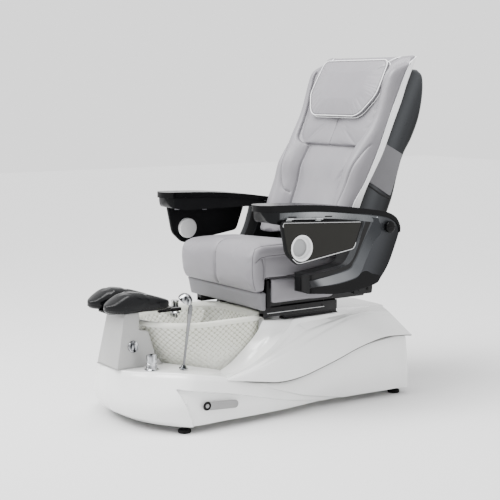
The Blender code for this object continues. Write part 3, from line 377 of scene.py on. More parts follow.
def fillet(corners, radii, steps=6):
    """Rounds the corners of a flat closed outline with arcs. radii is one number, or one for each."""
    if isinstance(radii, (int, float)):
        radii = [radii] * len(corners)
    outline = []
    for i, radius in enumerate(radii):
        here = Vector(corners[i])
        to_last = Vector(corners[i - 1]) - here
        to_next = Vector(corners[(i + 1) % len(corners)]) - here
        if radius <= 0:
            outline.append(tuple(here))
            continue
        last, following = to_last.normalized(), to_next.normalized()
        half = last.angle(following) / 2
        reach = min(radius / math.tan(half), 0.49 * to_last.length, 0.49 * to_next.length)
        radius = reach * math.tan(half)
        centre = here + (last + following).normalized() * (radius / math.sin(half))
        start, end = here + last * reach - centre, here + following * reach - centre
        sweep = start.angle_signed(end)
        for k in range(steps + 1):
            turn = -sweep * k / steps
            outline.append((centre.x + start.x * math.cos(turn) - start.y * math.sin(turn),
                            centre.y + start.x * math.sin(turn) + start.y * math.cos(turn)))
    return outline


def inset(outline, distance):
    """Moves a closed flat outline inwards, square to itself."""
    points = np.asarray(outline, float)
    area = 0.5 * np.sum(points[:, 0] * np.roll(points[:, 1], -1) - np.roll(points[:, 0], -1) * points[:, 1])
    before, after = points - np.roll(points, 1, axis=0), np.roll(points, -1, axis=0) - points
    before /= np.linalg.norm(before, axis=1)[:, None] + 1e-12
    after /= np.linalg.norm(after, axis=1)[:, None] + 1e-12
    along = before + after
    along /= np.linalg.norm(along, axis=1)[:, None] + 1e-12
    inward = np.column_stack([-along[:, 1], along[:, 0]]) * (1.0 if area > 0 else -1.0)
    cosine = np.clip(np.sum(before * along, axis=1), 0.5, 1.0)
    return points + inward * (distance / cosine)[:, None]


def rings_mesh(rings, closed=True, caps=True, loop=False):
    """Points and faces of a skin over rings of equal count."""
    rings = [np.asarray(ring, float) for ring in rings]
    count = len(rings[0])
    points = np.vstack(rings)
    faces = []
    last = len(rings) if loop else len(rings) - 1
    for r in range(last):
        a, b = r * count, ((r + 1) % len(rings)) * count
        for i in range(count if closed else count - 1):
            j = (i + 1) % count
            faces.append((a + i, a + j, b + j, b + i))
    if caps and not loop:
        faces.append(tuple(range(count)))
        faces.append(tuple((len(rings) - 1) * count + i for i in range(count)))
    return points, faces


def axis_points(outline, axis, height):
    """Flat outline points as 3-D points. The outline's two numbers are the other axes in X, Y, Z order."""
    outline = np.asarray(outline, float)
    column = np.full(len(outline), height)
    a, b = outline[:, 0], outline[:, 1]
    parts = {"x": (column, a, b), "y": (a, column, b), "z": (a, b, column)}[axis]
    return np.column_stack(parts)


def slab(outline, axis, low, high, edge, steps=5):
    """Flat piece with rounded edges on both faces."""
    rings = []
    for k in range(steps + 1):
        turn = 0.5 * math.pi * k / steps
        rings.append(axis_points(inset(outline, edge * (1 - math.sin(turn))), axis,
                                 low + edge * (1 - math.cos(turn))))
    for k in range(steps + 1):
        turn = 0.5 * math.pi * (1 - k / steps)
        rings.append(axis_points(inset(outline, edge * (1 - math.sin(turn))), axis,
                                 high - edge * (1 - math.cos(turn))))
    flat_low = axis_points(inset(outline, edge + 0.0006), axis, low)
    flat_high = axis_points(inset(outline, edge + 0.0006), axis, high)
    return rings_mesh([flat_low] + rings + [flat_high])


def side_slab(outline, side, low, high, edge, steps):
    """Slab over a (Y, Z) outline, between two distances from the middle, on one side."""
    return slab(outline, "x", *sorted((side * low, side * high)), edge, steps)


def side_block(outline, side, low, high):
    """Sharp-edged block over a (Y, Z) outline, between two distances from the middle, on one side."""
    return rings_mesh([axis_points(outline, "x", place) for place in sorted((side * low, side * high))])


def turned(profile, centre, direction=(0, 0, 1), steps=48):
    """Points and faces of (radius, height) points turned about an axis."""
    turn = np.array(Vector((0, 0, 1)).rotation_difference(Vector(direction)).to_matrix())
    angles = np.linspace(0, 2 * math.pi, steps, endpoint=False)
    rings = []
    for radius, height in profile:
        radius = max(radius, 0.00002)
        local = np.column_stack([radius * np.cos(angles), radius * np.sin(angles), np.full(steps, height)])
        rings.append(np.asarray(centre, float) + local @ turn.T)
    return rings_mesh(rings)


def tube(path, radius, sides=10, closed=False, flatten=1.0):
    """Round tube along a path of points."""
    path = np.asarray(path, float)
    count = len(path)
    rings = []
    side_way = None
    for i in range(count):
        before = path[i - 1] if (i or closed) else path[i]
        after = path[(i + 1) % count] if (i < count - 1 or closed) else path[i]
        along = Vector(after - before).normalized()
        if side_way is None:
            side_way = along.orthogonal().normalized()
        side_way = (side_way - along * side_way.dot(along)).normalized()
        up_way = along.cross(side_way)
        rings.append([path[i] + radius * (math.cos(t) * np.array(side_way)
                                          + flatten * math.sin(t) * np.array(up_way))
                      for t in np.linspace(0, 2 * math.pi, sides, endpoint=False)])
    return rings_mesh(rings, caps=not closed, loop=closed)


def plain_object(name, shape):
    """Object of (points, faces) with its faces turned outwards."""
    points, faces = shape
    mesh = bpy.data.meshes.new(name)
    mesh.from_pydata([tuple(p) for p in points], [], [tuple(f) for f in faces])
    mesh.update()
    tidy = bmesh.new()
    tidy.from_mesh(mesh)
    bmesh.ops.recalc_face_normals(tidy, faces=tidy.faces)
    tidy.to_mesh(mesh)
    tidy.free()
    made = bpy.data.objects.new(name, mesh)
    bpy.context.scene.collection.objects.link(made)
    return made


def shaded_smooth(made, sharp_angle):
    made.data.shade_smooth()
    made.data.set_sharp_from_angle(angle=math.radians(sharp_angle))


def piece(name, shape, finish, body, nodes=(), smooth=40.0):
    """Makes an object of (points, faces), lets it ride on a body and stand for CAD nodes."""
    made = plain_object(name, shape)
    made.data.materials.append(finish)
    shaded_smooth(made, smooth)
    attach(made, body)
    if nodes:
        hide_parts(*nodes)
    return made


def joined(*shapes):
    """Several (points, faces) shapes as one."""
    points, faces, start = [], [], 0
    for some_points, some_faces in shapes:
        points.append(np.asarray(some_points, float))
        faces += [tuple(i + start for i in face) for face in some_faces]
        start += len(some_points)
    return np.vstack(points), faces


def softened(made, width, segments=2, angle=35.0):
    bevel = made.modifiers.new("edges", "BEVEL")
    bevel.width = width
    bevel.segments = segments
    bevel.limit_method = "ANGLE"
    bevel.angle_limit = math.radians(angle)
    bevel.harden_normals = True
    return made


def smoothstep(low, high, value):
    t = np.clip((np.asarray(value, float) - low) / (high - low), 0.0, 1.0)
    return t * t * (3 - 2 * t)


def distance_to_line(points, line):
    """Distance from each point to an open line of points."""
    points, line = np.asarray(points, float), np.asarray(line, float)
    best = np.full(len(points), 1e9)
    for a, b in zip(line, line[1:]):
        along = b - a
        share = np.clip(((points - a) @ along) / max(along @ along, 1e-12), 0, 1)
        best = np.minimum(best, np.linalg.norm(points - a - share[:, None] * along, axis=1))
    return best


# Soft goods -------------------------------------------------------------------------------------
def evaluated_copy(made):
    """Applies every modifier to the object's mesh."""
    graph = bpy.context.evaluated_depsgraph_get()
    mesh = bpy.data.meshes.new_from_object(made.evaluated_get(graph))
    made.modifiers.clear()
    made.data = mesh
    return made


def coordinates_of(made):
    mesh = made.data
    points = np.empty(len(mesh.vertices) * 3, np.float32)
    mesh.vertices.foreach_get("co", points)
    return points.reshape(-1, 3).astype(float)


def normals_of(made):
    mesh = made.data
    normals = np.empty(len(mesh.vertices) * 3, np.float32)
    mesh.vertices.foreach_get("normal", normals)
    return normals.reshape(-1, 3).astype(float)


def set_coordinates(made, points):
    made.data.vertices.foreach_set("co", np.asarray(points, np.float32).ravel())
    made.data.update()


def remeshed(name, shape, finish, voxel):
    """Closed shape as an even quad mesh, not yet riding on anything."""
    made = plain_object(name, shape)
    remesh = made.modifiers.new("remesh", "REMESH")
    remesh.mode = "VOXEL"
    remesh.voxel_size = voxel
    evaluated_copy(made)
    made.data.materials.clear()
    made.data.materials.append(finish)
    return made


def swollen(made, pressure, cap, frames=20, stiffness=12.0, held=None):
    """Blows the cover up like a filled cushion, and caps how far a point may move."""
    start = coordinates_of(made)
    scene = bpy.context.scene
    cloth = made.modifiers.new("fill", "CLOTH")
    settings = cloth.settings
    settings.quality = 5
    settings.mass = 0.35
    settings.tension_stiffness = stiffness
    settings.compression_stiffness = stiffness
    settings.shear_stiffness = stiffness * 0.5
    settings.bending_stiffness = 0.6
    settings.air_damping = 2.0
    settings.use_pressure = True
    settings.uniform_pressure_force = pressure
    settings.effector_weights.gravity = 0.0
    cloth.collision_settings.use_collision = False
    cloth.collision_settings.use_self_collision = False
    if held is not None:
        group = made.vertex_groups.new(name="held")
        for index in np.nonzero(held > 0.01)[0]:
            group.add([int(index)], float(held[index]), "REPLACE")
        settings.vertex_group_mass = "held"
    cloth.point_cache.frame_start = 1
    cloth.point_cache.frame_end = frames
    for number in range(1, frames + 1):
        scene.frame_set(number)
    evaluated_copy(made)
    scene.frame_set(1)
    end = coordinates_of(made)
    move = end - start
    far = np.linalg.norm(move, axis=1)
    scale = np.minimum(1.0, cap / np.maximum(far, 1e-9))
    set_coordinates(made, start + move * scale[:, None])
    return made


def smoothed(made, times):
    """Evens out the surface a little."""
    smooth = made.modifiers.new("even", "SMOOTH")
    smooth.iterations = times
    smooth.factor = 0.5
    return evaluated_copy(made)


def subdivided(made):
    finer = made.modifiers.new("finer", "SUBSURF")
    finer.levels = finer.render_levels = 1
    return evaluated_copy(made)


def pressed(made, lines, width, depth, where=None):
    """Draws the cover in along seam lines."""
    points, normals = coordinates_of(made), normals_of(made)
    for line in lines:
        near = distance_to_line(points, line)
        push = depth * np.exp(-(near / width) ** 2)
        if where is not None:
            push = push * where(points)
        points = points - normals * push[:, None]
    set_coordinates(made, points)
    return made


def surface_tree(made):
    mesh = made.data
    return BVHTree.FromPolygons([tuple(v.co) for v in mesh.vertices],
                                [tuple(p.vertices) for p in mesh.polygons])


def snapped(tree, line, lift=0.0):
    """Moves each point of a line to the nearest place on a surface."""
    made = []
    for point in line:
        place, normal, _, _ = tree.find_nearest(Vector(point))
        made.append(np.array(place + normal * lift))
    return np.array(made)


def seam_shape(tree, line, radius, lift, closed=False):
    return tube(snapped(tree, line, lift), radius, 6, closed)


def pad_piece(made, body, nodes):
    shaded_smooth(made, 60)
    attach(made, body)
    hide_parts(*nodes)
    return made


# Moulded base -----------------------------------------------------------------------------------
BASE_BOTTOM = 0.030
DECK = 0.241
HOOD_DECK = 0.402
BULGE_EDGE = [(-0.592, 0.235), (-0.577, 0.185), (-0.550, 0.107), (-0.522, 0.030)]
RECESS_EDGE = [(-0.600, 0.189), (-0.577, 0.185), (-0.440, 0.161), (-0.294, 0.131), (-0.168, 0.100),
               (-0.060, 0.073), (0.110, 0.042), (0.240, 0.024), (0.700, 0.010)]
LEAF_EDGE = [(-0.190, 0.163), (-0.130, 0.134), (-0.060, 0.110), (0.015, 0.085), (0.088, 0.066),
             (0.240, 0.035), (0.400, 0.012)]


def line_value(line, at):
    """Height of an open (Y, Z) line at the given Y."""
    line = np.asarray(curve_through([(*p, 0.0) for p in line], 6))
    return np.interp(at, line[:, 0], line[:, 1])


def mirrored(half):
    """Closed ring from points that run from front centre to rear centre on the +X side."""
    half = np.array(half, float)
    half[0, 0] = half[-1, 0] = 0.0
    left = half[-2:0:-1] * np.array([-1.0, 1.0, 1.0])
    return np.vstack([half, left])


HULL_COLUMNS, HULL_ROWS = 360, 64


def hull_levels():
    """Half outlines of the lower body, from the underside to the top edge, and the mouth."""
    bottom = [(0, -0.672), (0.11, -0.662), (0.205, -0.628), (0.290, -0.573), (0.338, -0.520),
              (0.345, -0.46),
              (0.342, -0.38), (0.339, -0.22), (0.326, -0.03), (0.306, 0.15), (0.309, 0.35), (0.318, 0.57),
              (0.300, 0.640), (0, 0.650)]
    belly = [(0, -0.738), (0.115, -0.725), (0.212, -0.686), (0.297, -0.618), (0.340, -0.548),
             (0.346, -0.48),
             (0.346, -0.38), (0.341, -0.22), (0.333, -0.03), (0.318, 0.15), (0.316, 0.35), (0.319, 0.57),
             (0.300, 0.638), (0, 0.646)]
    edge = [(0, -0.735), (0.085, -0.718), (0.170, -0.664), (0.243, -0.575), (0.297, -0.515), (0.312, -0.46),
            (0.319, -0.38), (0.322, -0.22), (0.318, -0.03), (0.312, 0.15), (0.310, 0.35), (0.308, 0.57),
            (0.292, 0.628), (0, 0.634)]
    heights = [DECK, DECK, DECK, 0.240, 0.236, 0.226, 0.212, 0.166, 0.147, 0.183, 0.243, 0.268, 0.262,
               0.262]
    mouth = [(0, -0.505), (0.06, -0.503), (0.110, -0.485), (0.155, -0.445), (0.185, -0.40), (0.197, -0.36),
             (0.200, -0.30), (0.205, -0.22), (0.215, -0.03), (0.225, 0.15), (0.225, 0.35), (0.225, 0.57),
             (0.215, 0.60), (0, 0.61)]
    mouth_heights = [DECK, DECK, DECK, 0.238, 0.230, 0.222, 0.206, 0.180, 0.165, 0.183, 0.243, 0.262, 0.262,
                     0.262]
    return bottom, belly, edge, heights, mouth, mouth_heights


def hull_relief(points):
    """How far the side is pressed in: the name plate's panel, and the band under the rear leaf."""
    y, z = points[:, 1], points[:, 2]
    crease_y = np.interp(-z, [-p[1] for p in BULGE_EDGE], [p[0] for p in BULGE_EDGE])
    behind_bulge = smoothstep(0.0, 0.0045, y - crease_y)
    below_recess = smoothstep(0.0, 0.0045, line_value(RECESS_EDGE, y) - z)
    panel = 0.017 * behind_bulge * below_recess * (1 - 0.75 * smoothstep(-0.45, 0.15, y))
    leaf_gap = line_value(LEAF_EDGE, y) - z
    ahead = smoothstep(-0.20, -0.10, y) * (1 - smoothstep(0.20, 0.33, y))
    band = 0.013 * smoothstep(0.0, 0.0045, leaf_gap) * np.exp(-np.maximum(leaf_gap, 0) / 0.035) * ahead
    return np.maximum(panel, 0) + band


def base_hull(finish):
    bottom, belly, edge, heights, mouth, mouth_heights = hull_levels()

    def ring(plan, levels):
        return evenly(curve_through([(x, y, z) for (x, y), z in zip(plan, levels)], 12), HULL_COLUMNS)

    def up(share):
        return [BASE_BOTTOM + (top - BASE_BOTTOM) * share for top in heights]

    low_mid = [(0.5 * a[0] + 0.5 * b[0], 0.35 * a[1] + 0.65 * b[1]) for a, b in zip(bottom, belly)]
    shoulder = [(0.35 * a[0] + 0.65 * b[0], 0.35 * a[1] + 0.65 * b[1]) for a, b in zip(belly, edge)]
    keys = [ring(bottom, [BASE_BOTTOM] * len(edge)), ring(low_mid, up(0.14)), ring(belly, up(0.42)),
            ring(shoulder, up(0.85)), ring(edge, [h - 0.004 for h in heights])]
    columns = [evenly(curve_through([key[i] for key in keys], 10), HULL_ROWS) for i in range(HULL_COLUMNS)]
    rows = [np.array([column[k] for column in columns]) for k in range(HULL_ROWS)]
    for row in rows:
        side_share = smoothstep(0.22, 0.30, row[:, 0])
        row[:, 0] -= hull_relief(row) * side_share
    top = ring(edge, heights)
    inward = np.column_stack([top[:, 0], 0.6 * (top[:, 1] + 0.05)])
    inward /= np.linalg.norm(inward, axis=1)[:, None]

    def toward_middle(row, distance, rise):
        moved = row.copy()
        moved[:, :2] -= inward * distance
        moved[:, 2] += rise
        return moved

    deck = [toward_middle(top, 0.0015, -0.0012), toward_middle(top, 0.005, 0.0),
            toward_middle(top, 0.014, 0.0)]
    lip = ring(mouth, mouth_heights)
    across = [deck[-1] + (lip - deck[-1]) * share for share in (0.25, 0.5, 0.75, 1.0)]
    under = [lip - np.array([0, 0, 0.008]), toward_middle(top, 0.022, -0.010),
             toward_middle(rows[HULL_ROWS // 2 - 2], 0.012, 0.0), toward_middle(rows[0], 0.010, 0.0)]
    shape = rings_mesh([mirrored(row) for row in rows + deck + across + under], loop=True)
    return piece("lower_hull", shape, finish, "base", ("base_shell",), smooth=50)


def hood(finish, lip_shade_cord):
    """Rear cover: a flat deck, a crease, a valley and a rolled ridge above the overhanging lip."""
    lip = [(0.326, -0.352, 0.1960), (0.337, -0.220, 0.176), (0.341, -0.090, 0.158), (0.341, 0.020, 0.166),
           (0.338, 0.120, 0.188), (0.336, 0.220, 0.215), (0.335, 0.340, 0.252), (0.334, 0.480, 0.279),
           (0.330, 0.600, 0.274), (0.312, 0.6565, 0.268), (0.150, 0.666, 0.268), (0, 0.668, 0.268)]
    ridge = [(0.323, -0.350, 0.1985), (0.322, -0.220, 0.219), (0.311, -0.090, 0.256), (0.304, 0.020, 0.290),
             (0.296, 0.120, 0.322), (0.286, 0.220, 0.350), (0.263, 0.340, 0.372), (0.232, 0.480, 0.372),
             (0.205, 0.600, 0.350), (0.190, 0.645, 0.343), (0.110, 0.655, 0.350), (0, 0.657, 0.352)]
    crest = [(0.312, -0.350, 0.2000), (0.300, -0.223, 0.236), (0.300, -0.111, 0.302),
             (0.290, -0.028, 0.363),
             (0.281, 0.020, 0.402), (0.268, 0.150, 0.400), (0.235, 0.330, 0.396), (0.180, 0.480, 0.388),
             (0.145, 0.600, 0.380), (0.137, 0.635, 0.376), (0.080, 0.640, 0.378), (0, 0.641, 0.378)]
    inner = [(0.205, -0.338, 0.1950), (0.201, -0.250, 0.236), (0.2065, -0.172, 0.303),
             (0.2140, -0.125, 0.355),
             (0.2275, -0.108, HOOD_DECK), (0.2010, -0.083, HOOD_DECK), (0.1660, -0.063, HOOD_DECK),
             (0.1290, -0.056, HOOD_DECK), (0.0950, -0.056, HOOD_DECK), (0.0620, -0.056, HOOD_DECK),
             (0.0300, -0.056, HOOD_DECK), (0, -0.056, HOOD_DECK)]
    count = 230

    def fine(row):
        made = curve_through(row, 12)
        made[:, 2] = np.minimum(made[:, 2], HOOD_DECK)
        steps = np.linspace(0, len(made) - 1, count)
        return np.column_stack([np.interp(steps, np.arange(len(made)), made[:, k]) for k in range(3)])

    lip, ridge, crest, inner = fine(lip), fine(ridge), fine(crest), fine(inner)
    share = np.linspace(0, 1, count)
    swell = (np.sin(np.pi * np.clip(share / 0.82, 0, 1)) ** 0.8)[:, None]
    outward = np.array([1.0, 0.0, 0.0])
    bulge = 0.5 * (lip + ridge) + outward * 0.006 * swell
    shoulder = 0.15 * lip + 0.85 * ridge + (outward * 0.004 + np.array([0, 0, 0.004])) * swell
    under_ridge = 0.78 * ridge + 0.22 * crest + np.array([-0.001, 0, 0.0008]) * swell
    valley = 0.45 * ridge + 0.55 * crest + np.array([-0.009, 0, -0.007]) * swell
    near_crest = 0.07 * ridge + 0.93 * crest + np.array([0, 0, -0.0015])
    wing = (smoothstep(0.0, 0.05, share) * (1 - smoothstep(0.30, 0.40, share)))[:, None]
    past_crest = 0.96 * crest + 0.04 * inner
    scoop = 0.5 * crest + 0.5 * inner - np.array([0, 0, 0.006]) * wing
    keys = [lip, bulge, shoulder, ridge, under_ridge, valley, near_crest, crest, past_crest, scoop, inner]
    steps, rows = 6, []
    for row_a, row_b, row_c, row_d in zip([2 * keys[0] - keys[1]] + keys, keys, keys[1:],
                                          keys[2:] + [2 * keys[-1] - keys[-2]]):
        rows += [spline_point(row_a, row_b, row_c, row_d, k / steps) for k in range(steps)]
    rows.append(inner)
    for row in rows:
        row[:, 2] = np.minimum(row[:, 2], HOOD_DECK)

    def both_sides(row):
        row = row.copy()
        row[-1, 0] = 0.0
        return np.vstack([row, row[-2::-1] * np.array([-1.0, 1.0, 1.0])])

    skin = 0.005
    below = [rows[-1] - np.array([0, 0, skin]), rows[steps * 8] - np.array([0.002, 0, skin]),
             rows[steps * 3] - np.array([skin, 0, 0.003]), lip - np.array([skin, 0, -0.001]),
             lip - np.array([0.0015, 0, 0.0012])]
    skins = [both_sides(row) for row in rows + below]
    points, faces = rings_mesh(skins, closed=False, loop=True)
    across = len(skins[0])
    faces.append(tuple(r * across for r in range(len(skins))))
    faces.append(tuple(r * across + across - 1 for r in range(len(skins))))
    # A dark cord under the lip paints the shadow in the gap below the overhang.
    seam = lip[(lip[:, 1] > -0.10) & (lip[:, 0] > 0.30)]
    for letter, side in SIDES:
        path = (seam - np.array([0.0006, 0.0, 0.0022])) * np.array([side, 1.0, 1.0])
        piece(f"hood_lip_shadow_{letter}", tube(evenly(path, 160), 0.0021, 8), lip_shade_cord, "base")
    return piece("rear_cover", (points, faces), finish, "base", ("rear_hood",), smooth=55)


# Foot bath --------------------------------------------------------------------------------------
def bath_plan(half_width, front, rear, count=440):
    corners = [(-half_width, front), (half_width, front), (half_width, rear), (-half_width, rear)]
    front_corner, rear_corner = 0.98 * half_width, 0.42 * half_width
    return evenly(fillet(corners, [front_corner, front_corner, rear_corner, rear_corner], 14), count, True)


def foot_bath(finish, groove):
    """Clear bowl embossed all over with small diamonds, under a smooth rolled rim; the grooves between the
    diamonds take a darker resin as painted shade.
    """
    outer = [(0.150, -0.420, -0.120, 0.119), (0.176, -0.462, -0.092, 0.170), (0.184, -0.492, -0.080, 0.232),
             (0.200, -0.540, -0.072, 0.320), (0.207, -0.566, -0.069, 0.394)]
    rim = [(0.210, -0.572, -0.068, 0.3985), (0.218, -0.583, -0.064, 0.4010),
           (0.2225, -0.5875, -0.0615, 0.4045),
           (0.2240, -0.5900, -0.0600, 0.4110), (0.2230, -0.5890, -0.0610, 0.4175),
           (0.2190, -0.5850, -0.0645, 0.4225), (0.2140, -0.5795, -0.0680, 0.4235),
           (0.2110, -0.5760, -0.0695, 0.4215), (0.2075, -0.5715, -0.0715, 0.4225),
           (0.2040, -0.5660, -0.0740, 0.4200)]
    inner = [(0.2010, -0.5590, -0.0765, 0.4130), (0.193, -0.534, -0.080, 0.320),
             (0.177, -0.486, -0.088, 0.232),
             (0.168, -0.454, -0.100, 0.170), (0.142, -0.412, -0.128, 0.125)]
    cell_wide, cell_high, emboss, girth = 0.030, 0.0230, 0.0036, 1.62
    wall_rings, rim_rings = 110, 12

    def wall(levels, count):
        return evenly(curve_through(levels, 12), count)

    rings, smooth_part = [], []
    for levels, count in ((outer, wall_rings), (rim, rim_rings), (inner, wall_rings)):
        for half_width, front, rear, z in wall(levels, count):
            plan = bath_plan(half_width, front, rear)
            rings.append((plan, z))
            smooth_part.append(levels is rim)
    made, sunk = [], []
    for (plan, z), plain in zip(rings, smooth_part):
        around = np.concatenate([[0], np.cumsum(np.linalg.norm(np.diff(plan, axis=0), axis=1))])
        cells = round(girth / cell_wide)
        a = np.pi * cells * around / (around[-1] + np.linalg.norm(plan[0] - plan[-1]))
        b = np.pi * z / cell_high
        height = np.abs(np.sin(a + b) * np.sin(a - b))
        fade = 0.0 if plain else float(smoothstep(0.402, 0.390, z) * smoothstep(0.120, 0.135, z))
        centre = np.array([0.0, -0.30])
        away = plan - centre
        away /= np.linalg.norm(away, axis=1)[:, None]
        moved = plan + away * (emboss * fade * (height - 1.0))[:, None]
        # Faces deep in the grooves are marked for the darker resin, painted shade in the hollows.
        sunk += list((height < 0.17 * float(smoothstep(0.22, 0.34, z))) & (fade > 0.5))
        made.append(np.column_stack([moved, np.full(len(plan), z)]))
    for k in range(wall_rings + rim_rings, len(made)):
        plan, z = rings[k]
        made[k][:, :2] = 2 * plan - made[k][:, :2]
    shape = rings_mesh(made, caps=True)
    bath = piece("clear_bath", shape, finish, "base", ("tub_bowl",), smooth=70)
    bath.data.materials.append(groove)
    for polygon in bath.data.polygons:
        if len(polygon.vertices) == 4 and sunk[polygon.vertices[0]]:
            polygon.material_index = 1
    return bath


def bath_lining(finish):
    """The floor of the bath is glazed with a ring moulding round the drain."""
    profile = [(0.0, 0.0), (0.060, 0.0), (0.062, 0.0015), (0.066, 0.0015), (0.068, 0.0), (0.068, -0.002),
               (0.0, -0.002)]
    piece("drain_ring", turned(profile, (0.0, -0.19, 0.1258)), finish, "base")


# Fittings on the front deck ---------------------------------------------------------------------
PILLAR_TOP = 0.466


def pillar_half(height):
    return 0.088 - 0.015 * (height - DECK) / (PILLAR_TOP - DECK)


def pillar(finish):
    """Tapered pillar with a stepped rear edge, soft corners and a foot moulding."""
    side = [(-0.731, DECK), (-0.686, PILLAR_TOP), (-0.615, PILLAR_TOP), (-0.6225, 0.396), (-0.577, 0.384),
            (-0.548, 0.278), (-0.515, DECK)]
    outline = np.array(fillet(side, [0.006, 0.007, 0.007, 0.008, 0.014, 0.008, 0.006], 4))
    rings = []
    for sign, out, row_in in ((-1, 0, 0.0048), (-1, 0, 0.004), (-1, 0.0012, 0.0012), (-1, 0.004, 0),
                              (1, 0.004, 0),
                              (1, 0.0012, 0.0012), (1, 0, 0.004), (1, 0, 0.0048)):
        rings.append([(sign * (pillar_half(z) - out), y, z + 0.0003) for y, z in inset(outline, row_in)])
    shape = rings_mesh(rings)
    made = piece("footrest_stand", shape, finish, "base", ("footrest_pillar",), smooth=30)
    foot = fillet([(-0.091, -0.734), (0.091, -0.734), (0.091, -0.512), (-0.091, -0.512)], 0.010, 5)
    piece("stand_foot_seal", slab(foot, "z", DECK - 0.0005, DECK + 0.0025, 0.0012), finish, "base")
    return made


BUTTON_AT = (pillar_half(0.330), -0.653, 0.330)
BUTTON_AXIS = (1.0, 0.0, 0.015 / (PILLAR_TOP - DECK))


def air_button(finishes):
    bezel = [(0.0166, -0.006), (0.0172, 0.0003), (0.0245, 0.0003), (0.0250, 0.0018), (0.0243, 0.0045),
             (0.0225, 0.0072), (0.0200, 0.0080), (0.0178, 0.0072), (0.0166, 0.0050)]
    piece("button_ring", turned(bezel, BUTTON_AT, BUTTON_AXIS), finishes["chrome"], "base",
          ("button_bezel",))
    cap = [(0.0, -0.008), (0.0145, -0.008), (0.0147, 0.0030), (0.0138, 0.0048), (0.0115, 0.0060),
           (0.0090, 0.0055), (0.0050, 0.0046), (0.0, 0.0043)]
    piece("button_cap", turned(cap, BUTTON_AT, BUTTON_AXIS), finishes["chrome"], "jet_button",
          ("jet_button",))


def mixing_valve(finishes):
    x, y, z = 0.150, -0.606, DECK
    flange = [(0.0, 0.0003), (0.0290, 0.0003), (0.0294, 0.0015), (0.0285, 0.0032), (0.0245, 0.0052),
              (0.0227, 0.0085), (0.0222, 0.0195), (0.0, 0.0200)]
    piece("valve_base", turned(flange, (x, y, z)), finishes["chrome"], "base", ("valve_flange",))
    handle = [(0.0, 0.0203), (0.0230, 0.0203), (0.0236, 0.0215), (0.0234, 0.0262), (0.0222, 0.0275),
              (0.0214, 0.0290), (0.0218, 0.0310), (0.0225, 0.0320), (0.0226, 0.0560), (0.0214, 0.0615),
              (0.0180, 0.0640), (0.0100, 0.0655), (0.0, 0.0660)]
    points, faces = turned(handle, (x, y, z), steps=72)
    angle = np.arctan2(points[:, 1] - y, points[:, 0] - x)
    height = points[:, 2] - z
    grip = smoothstep(0.031, 0.034, height) * (1 - smoothstep(0.052, 0.058, height))
    shrink = 1 - 0.045 * grip * np.maximum(0, np.cos(9 * angle)) ** 4
    points[:, 0] = x + (points[:, 0] - x) * shrink
    points[:, 1] = y + (points[:, 1] - y) * shrink
    points[:, 2] += 0.20 * (points[:, 0] - x) * smoothstep(0.040, 0.056, height)
    mark = turned([(0.0, 0.0), (0.0028, 0.0), (0.0028, 0.0012), (0.0, 0.0014)], (x + 0.010, y, z + 0.0665),
                  steps=16)
    piece("valve_grip", joined((points, faces), mark), finishes["chrome"], "valve", ("valve_handle",))


def water_filler(finishes):
    x, y, z = -0.172, -0.299, 0.392
    body = [(0.0, 0.0), (0.0225, 0.0), (0.0232, 0.0012), (0.0230, 0.0036), (0.0190, 0.0062),
            (0.0166, 0.0085),
            (0.0165, 0.0290), (0.0172, 0.0305), (0.0172, 0.0325), (0.0165, 0.0340), (0.0165, 0.0495),
            (0.0180, 0.0525), (0.0182, 0.0555), (0.0172, 0.0578), (0.0, 0.0582)]
    elbow = turned([(0.0, -0.016), (0.0098, -0.016), (0.0105, -0.015), (0.0105, 0.002), (0.0, 0.002)],
                   (x, y, z), steps=24)
    stem = turned([(0.0, -0.010), (0.0080, -0.010), (0.0080, 0.052), (0.0130, 0.0525), (0.0132, 0.0600),
                   (0.0, 0.060)], (x, y, z - 0.012), (-1, 0, 0), steps=24)
    piece("filler", joined(turned(body, (x, y, z)), elbow, stem), finishes["chrome"], "base",
          ("filler_body",))


